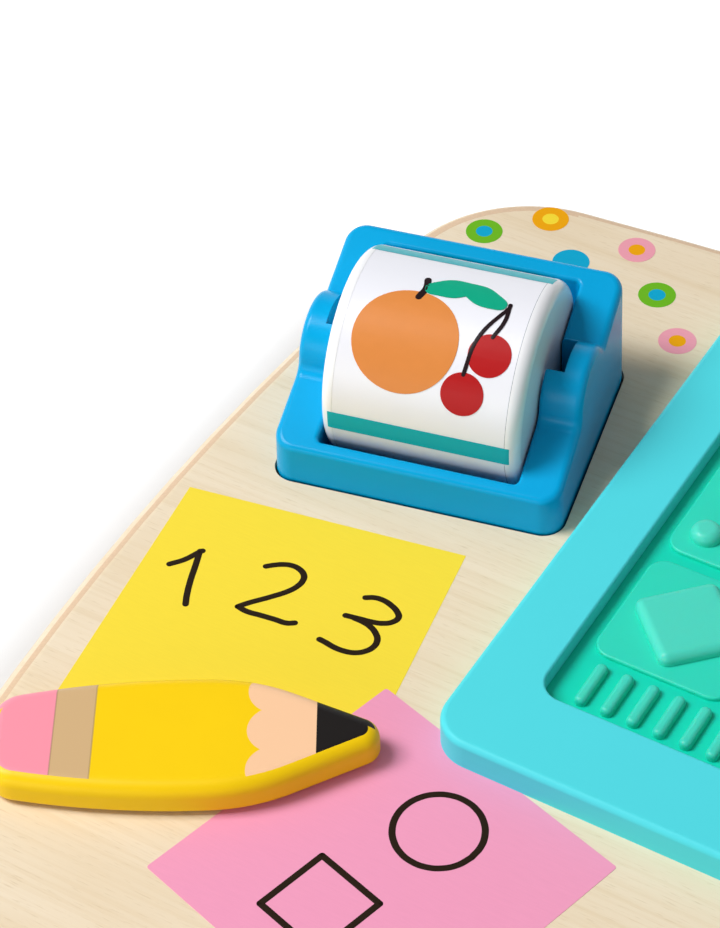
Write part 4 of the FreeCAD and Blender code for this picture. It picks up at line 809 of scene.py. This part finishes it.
def make_mouse(look):
    """Orange mouse with a split line and a ribbed wheel."""
    dress(moulded("polished_abs_orange", look.mouse, 0.27, 8.0, 0.02, 0.02), "mouse")
    low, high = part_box("mouse")
    x, y, z = (low.x + high.x) / 2 / MM, (low.y + high.y) / 2 / MM, high.z / MM
    grey = moulded("thermoplastic_rubber_grey", linear("#4A4D52"), 0.55, 0.8, 0.03, 0.05)
    split = sheet(0, 6.0, z, 0.9, 23.6, 0.06, corner=0.3)
    cross = sheet(0, -5.6, z, 17.6, 0.9, 0.06, corner=0.3)
    for piece in (split, cross):
        alone(piece)
        bpy.ops.object.transform_apply(location=True, rotation=True, scale=True)
    ready(shift(merge(split, cross), x, y), "mouse_lines", "mouse_set", "label_print",
          printed("brown_ink_on_abs", linear("#8A4A10"), 0.4, False))
    alone()
    bpy.ops.mesh.primitive_cylinder_add(vertices=40, radius=4.6 * MM, depth=3.4 * MM, location=(0, 0, 0),
                                        rotation=(0, math.radians(90), 0))
    wheel = bpy.context.object
    alone(wheel)
    bpy.ops.object.transform_apply(location=False, rotation=True, scale=True)
    edit(wheel, "DESELECT")
    bpy.ops.object.mode_set(mode="OBJECT")
    for face in wheel.data.polygons:
        face.select = abs(face.normal.x) < 0.5
    bpy.ops.object.mode_set(mode="EDIT")
    bpy.ops.mesh.select_mode(type="FACE")
    bpy.ops.mesh.inset(thickness=0.12 * MM, use_individual=True)
    bpy.ops.mesh.extrude_region_shrink_fatten(TRANSFORM_OT_shrink_fatten={"value": 0.3 * MM})
    bpy.ops.object.mode_set(mode="OBJECT")
    wheel.location.z = (z - 3.9) * MM
    shift(wheel, x, y + 9.5)
    ready(wheel, "mouse_wheel", "mouse_set", "mouse_orange", grey)


def make_keys(look):
    """Key housing and three caps, each with a plain sign."""
    dress(moulded("etched_abs_aqua", look.housing, 0.42, 0.6, 0.02, 0.015, Specular_IOR_Level=0.16),
          "key_housing")
    ink = printed("white_ink_on_abs", look.mark, 0.4, False)
    signs = (
        [(-4.2, 0), (2.6, 4.4), (2.6, -4.4)],
        [(-3.4, -3.4), (3.4, -3.4), (3.4, 3.4), (-3.4, 3.4)],
        [(4.2, 0), (-2.6, 4.4), (-2.6, -4.4)],
    )
    for number, sign in enumerate(signs, start=1):
        colour = getattr(look, f"key_{number}")
        dress(moulded(f"polished_abs_key_{number}", colour, 0.25, 7.0, 0.02, 0.02), f"key_cap_{number}")
        low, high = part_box(f"key_cap_{number}")
        mark = patch(sign, high.z / MM, 0.06, smooth=False)
        shift(mark, (low.x + high.x) / 2 / MM, (low.y + high.y) / 2 / MM)
        ready(mark, f"key_sign_{number}", f"key_{number}", "label_print", ink)


def coil(node, material):
    """A wire coil in place of a key's plain tube."""
    low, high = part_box(node)
    middle = (low + high) / 2
    wire = 0.7 * MM
    reach = (high.x - low.x - wire) / 2
    tall = high.z - low.z
    steps = 6 * 12  # six turns of twelve knots
    alone()
    bpy.ops.curve.primitive_bezier_curve_add(location=(0, 0, 0))
    obj = bpy.context.object
    line = obj.data.splines[0]
    line.bezier_points.add(steps - 1)
    for step, knot in enumerate(line.bezier_points):
        angle = math.radians(30 * step)
        knot.co = (middle.x + reach * math.cos(angle), middle.y + reach * math.sin(angle),
                   low.z + wire / 2 + (tall - wire) * step / steps)
        knot.handle_left_type = knot.handle_right_type = "AUTO"
    line.resolution_u = 2
    obj.data.dimensions = "3D"
    obj.data.bevel_depth = wire / 2
    obj.data.bevel_resolution = 2
    obj.data.use_fill_caps = True
    ready(to_mesh(obj), f"coil_of_{node}", "base", "steel", material)
    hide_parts(node)
    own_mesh(obj)


def make_fasteners():
    """Screws, clip and springs."""
    # Zinc-plated steel: bluish grey, a little cloudy
    dress(steel("zinc_plated_steel", linear("#B9BCC2"), 0.34, 0.8), "roller_screws", "tablet_screws",
          "key_screws", "mouse_screw")
    # Spring steel wire and strip: darker, drawn marks round the height
    wire = steel("spring_steel", linear("#8E9196"), 0.3, 0.9)
    dress(wire, "clock_clip")
    for number in (1, 2, 3):
        coil(f"key_spring_{number}", wire)


# Studio

def make_studio(look):
    """Camera, pale floor, white room and two soft lamps."""
    alone()
    bpy.ops.object.camera_add(location=look.camera_place, rotation=look.camera_turn)
    camera = bpy.context.object
    camera.name = "camera"
    camera.data.lens = look.lens
    camera.data.sensor_width = 36
    camera.data.shift_x, camera.data.shift_y = look.shift
    camera.data.clip_start = 0.01
    bpy.context.scene.camera = camera
    bpy.context.scene.view_settings.view_transform = "Standard"

    alone()
    bpy.ops.mesh.primitive_plane_add(size=8, location=(0, 0, 0))
    floor = bpy.context.object
    floor.name = "floor"
    material = bpy.data.materials.new("white_paper_backdrop")
    material.use_nodes = True
    tree = material.node_tree
    tree.nodes.clear()
    rays = add(tree, "ShaderNodeLightPath")
    seen = calc(tree, "MAXIMUM", rays.outputs["Is Camera Ray"], rays.outputs["Is Glossy Ray"])
    seen = calc(tree, "MAXIMUM", seen, rays.outputs["Is Transmission Ray"])
    # The paper glows up to white from 20 mm off the board. Nearer, the glow fades out, so the grey along the
    # edge is partly real shade and partly painted shade drawn in by this ramp. How far off a place is: past
    # the bowed ends or sides, blended at the corners
    where = add(tree, "ShaderNodeTexCoord").outputs["Object"]
    across = add(tree, "ShaderNodeVectorMath", {0: where}, operation="ABSOLUTE").outputs[0]
    bow = add(tree, "ShaderNodeVectorMath", {0: where, 1: where}, operation="MULTIPLY").outputs[0]
    bow = add(tree, "ShaderNodeVectorMath", {0: bow, 1: (0.5 / SIDE_BOW, 0.5 / END_BOW, 0)},
              operation="MULTIPLY").outputs[0]
    bow = add(tree, "ShaderNodeSeparateXYZ", {0: bow})
    across = add(tree, "ShaderNodeVectorMath", {0: across, 1: CAD_BOX[1]}, operation="SUBTRACT").outputs[0]
    across = add(tree, "ShaderNodeSeparateXYZ", {0: across})
    past_end = add(tree, "ShaderNodeMath", {0: across.outputs[0], 1: bow.outputs[1]}).outputs[0]
    past_side = add(tree, "ShaderNodeMath", {0: across.outputs[1], 1: bow.outputs[0]}).outputs[0]
    off = calc(tree, "SMOOTH_MAX", past_end, past_side, 0.062)
    # Painted shade near the board: no glow up to 6.5 mm off its edge, rising to full glow at 20 mm
    lift = add(tree, "ShaderNodeMapRange", {0: off, 1: 0.0065, 2: 0.02, 3: 0.0, 4: 0.4}).outputs[0]
    lift = calc(tree, "MULTIPLY", seen, lift)
    paper = add(tree, "ShaderNodeBsdfDiffuse", {"Color": rgba(look.floor)}).outputs[0]
    glow = add(tree, "ShaderNodeEmission", {"Strength": lift}).outputs[0]
    both = add(tree, "ShaderNodeAddShader", {0: paper, 1: glow}).outputs[0]
    clear = add(tree, "ShaderNodeBsdfTransparent").outputs[0]
    back = add(tree, "ShaderNodeNewGeometry").outputs["Backfacing"]
    # Seen from below the floor is clear, so that the underside can be looked at
    side = add(tree, "ShaderNodeMixShader", {0: back, 1: both, 2: clear}).outputs[0]
    add(tree, "ShaderNodeOutputMaterial", {0: side})
    floor.data.materials.append(material)

    world = bpy.data.worlds.new("white_room")
    bpy.context.scene.world = world
    world.use_nodes = True
    tree = world.node_tree
    tree.nodes.clear()
    # The white backdrop stands all round up to 35 degrees; above it gloss shows the dimmer ceiling
    rays = add(tree, "ShaderNodeLightPath")
    seen = calc(tree, "MAXIMUM", rays.outputs["Is Glossy Ray"], rays.outputs["Is Transmission Ray"])
    up = add(tree, "ShaderNodeTexCoord").outputs["Generated"]
    up = add(tree, "ShaderNodeSeparateXYZ", {0: up}).outputs[2]
    backdrop = add(tree, "ShaderNodeMapRange", {0: up, 1: 0.45, 2: 0.65, 3: 1.0, 4: 0.0}).outputs[0]
    seen = calc(tree, "MULTIPLY", seen, backdrop)
    seen = calc(tree, "MAXIMUM", seen, rays.outputs["Is Camera Ray"])
    strength = add(tree, "ShaderNodeMapRange", {0: seen, 3: look.sky, 4: 1.0}).outputs[0]
    light = add(tree, "ShaderNodeBackground", {"Color": rgba(look.air), "Strength": strength}).outputs[0]
    add(tree, "ShaderNodeOutputWorld", {0: light})

    for name, place, width, height, watts in (("key_lamp", (-1.215, -0.618, 1.791), 0.75, 1.1, look.key),
                                              ("fill_lamp", (-0.373, -1.393, 0.363), 1.0, 0.5, look.fill)):
        alone()
        aim = (Vector(place) - Vector(LAMP_AIM)).to_track_quat("Z", "Y").to_euler()
        bpy.ops.object.light_add(type="AREA", location=place, rotation=aim)
        lamp = bpy.context.object
        lamp.name = name
        lamp.data.shape = "RECTANGLE"
        lamp.data.size = width
        lamp.data.size_y = height
        lamp.data.energy = watts


# Operators, panel and registration

class BUSY_OT_studio(bpy.types.Operator):
    """Set up the camera, the pale floor and the soft light"""
    bl_idname = "busy_board.studio"
    bl_label = "Studio"

    def execute(self, context):
        make_studio(context.scene.busy_board.studio)
        return {"FINISHED"}


class BUSY_OT_plywood(bpy.types.Operator):
    """Give the board its birch plywood and the feet their rubber"""
    bl_idname = "busy_board.plywood"
    bl_label = "Plywood board"

    def execute(self, context):
        make_plywood(context.scene.busy_board.board)
        return {"FINISHED"}


class BUSY_OT_notes(bpy.types.Operator):
    """Print the two square notes and what is written on them"""
    bl_idname = "busy_board.notes"
    bl_label = "Notes and digits"

    def execute(self, context):
        make_notes(context.scene.busy_board.board)
        make_digits(context.scene.busy_board.board)
        return {"FINISHED"}


class BUSY_OT_rings(bpy.types.Operator):
    """Print the trail of rings"""
    bl_idname = "busy_board.rings"
    bl_label = "Rings"

    def execute(self, context):
        make_rings(context.scene.busy_board.board)
        return {"FINISHED"}


class BUSY_OT_roller(bpy.types.Operator):
    """Finish the picture roller's case and drum and wrap the pictures round it"""
    bl_idname = "busy_board.roller"
    bl_label = "Picture roller"

    def execute(self, context):
        look = context.scene.busy_board.roller
        make_case(look)
        make_drum(look)
        make_pictures(look)
        return {"FINISHED"}


class BUSY_OT_tablet(bpy.types.Operator):
    """Finish the tablet's frame and pad"""
    bl_idname = "busy_board.tablet"
    bl_label = "Tablet"

    def execute(self, context):
        make_tablet(context.scene.busy_board.tablet)
        return {"FINISHED"}


class BUSY_OT_pencil(bpy.types.Operator):
    """Paint the pencil"""
    bl_idname = "busy_board.pencil"
    bl_label = "Pencil"

    def execute(self, context):
        make_pencil(context.scene.busy_board.pencil)
        return {"FINISHED"}


class BUSY_OT_clock(bpy.types.Operator):
    """Print the clock's dial and finish its hands"""
    bl_idname = "busy_board.clock"
    bl_label = "Clock"

    def execute(self, context):
        make_clock(context.scene.busy_board.desk)
        return {"FINISHED"}


class BUSY_OT_mouse(bpy.types.Operator):
    """Finish the sliding mouse"""
    bl_idname = "busy_board.mouse"
    bl_label = "Mouse"

    def execute(self, context):
        make_mouse(context.scene.busy_board.desk)
        return {"FINISHED"}


class BUSY_OT_keys(bpy.types.Operator):
    """Finish the three push keys"""
    bl_idname = "busy_board.keys"
    bl_label = "Keys"

    def execute(self, context):
        make_keys(context.scene.busy_board.desk)
        return {"FINISHED"}


class BUSY_OT_fasteners(bpy.types.Operator):
    """Finish the screws, the clip and the springs"""
    bl_idname = "busy_board.fasteners"
    bl_label = "Fasteners"

    def execute(self, context):
        make_fasteners()
        return {"FINISHED"}


OPERATORS = (BUSY_OT_studio, BUSY_OT_plywood, BUSY_OT_notes, BUSY_OT_rings, BUSY_OT_roller, BUSY_OT_tablet,
             BUSY_OT_pencil, BUSY_OT_clock, BUSY_OT_mouse, BUSY_OT_keys, BUSY_OT_fasteners)


class BUSY_PT_panel(bpy.types.Panel):
    """Busy board steps and settings"""
    bl_idname = "BUSY_PT_panel"
    bl_label = "Busy board"
    bl_space_type = "VIEW_3D"
    bl_region_type = "UI"
    bl_category = "Busy board"

    def draw(self, context):
        for operator in OPERATORS:
            self.layout.operator(operator.bl_idname)
        settings = context.scene.busy_board
        for name in ("board", "roller", "tablet", "pencil", "desk", "studio"):
            box = self.layout.box()
            box.label(text=name.capitalize())
            group = getattr(settings, name)
            for key in group.__annotations__:
                box.prop(group, key)


CLASSES = (BoardSettings, RollerSettings, TabletSettings, PencilSettings, DeskSettings, StudioSettings,
           BusyBoardSettings, *OPERATORS, BUSY_PT_panel)


def register():
    for item in CLASSES:
        bpy.utils.register_class(item)
    bpy.types.Scene.busy_board = bpy.props.PointerProperty(type=BusyBoardSettings)


def unregister():
    del bpy.types.Scene.busy_board
    for item in reversed(CLASSES):
        bpy.utils.unregister_class(item)


def main():
    """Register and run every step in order."""
    register()
    for operator in OPERATORS:
        group, step = operator.bl_idname.split(".")
        getattr(getattr(bpy.ops, group), step)()
    alone()


if __name__ == "__main__":
    main()
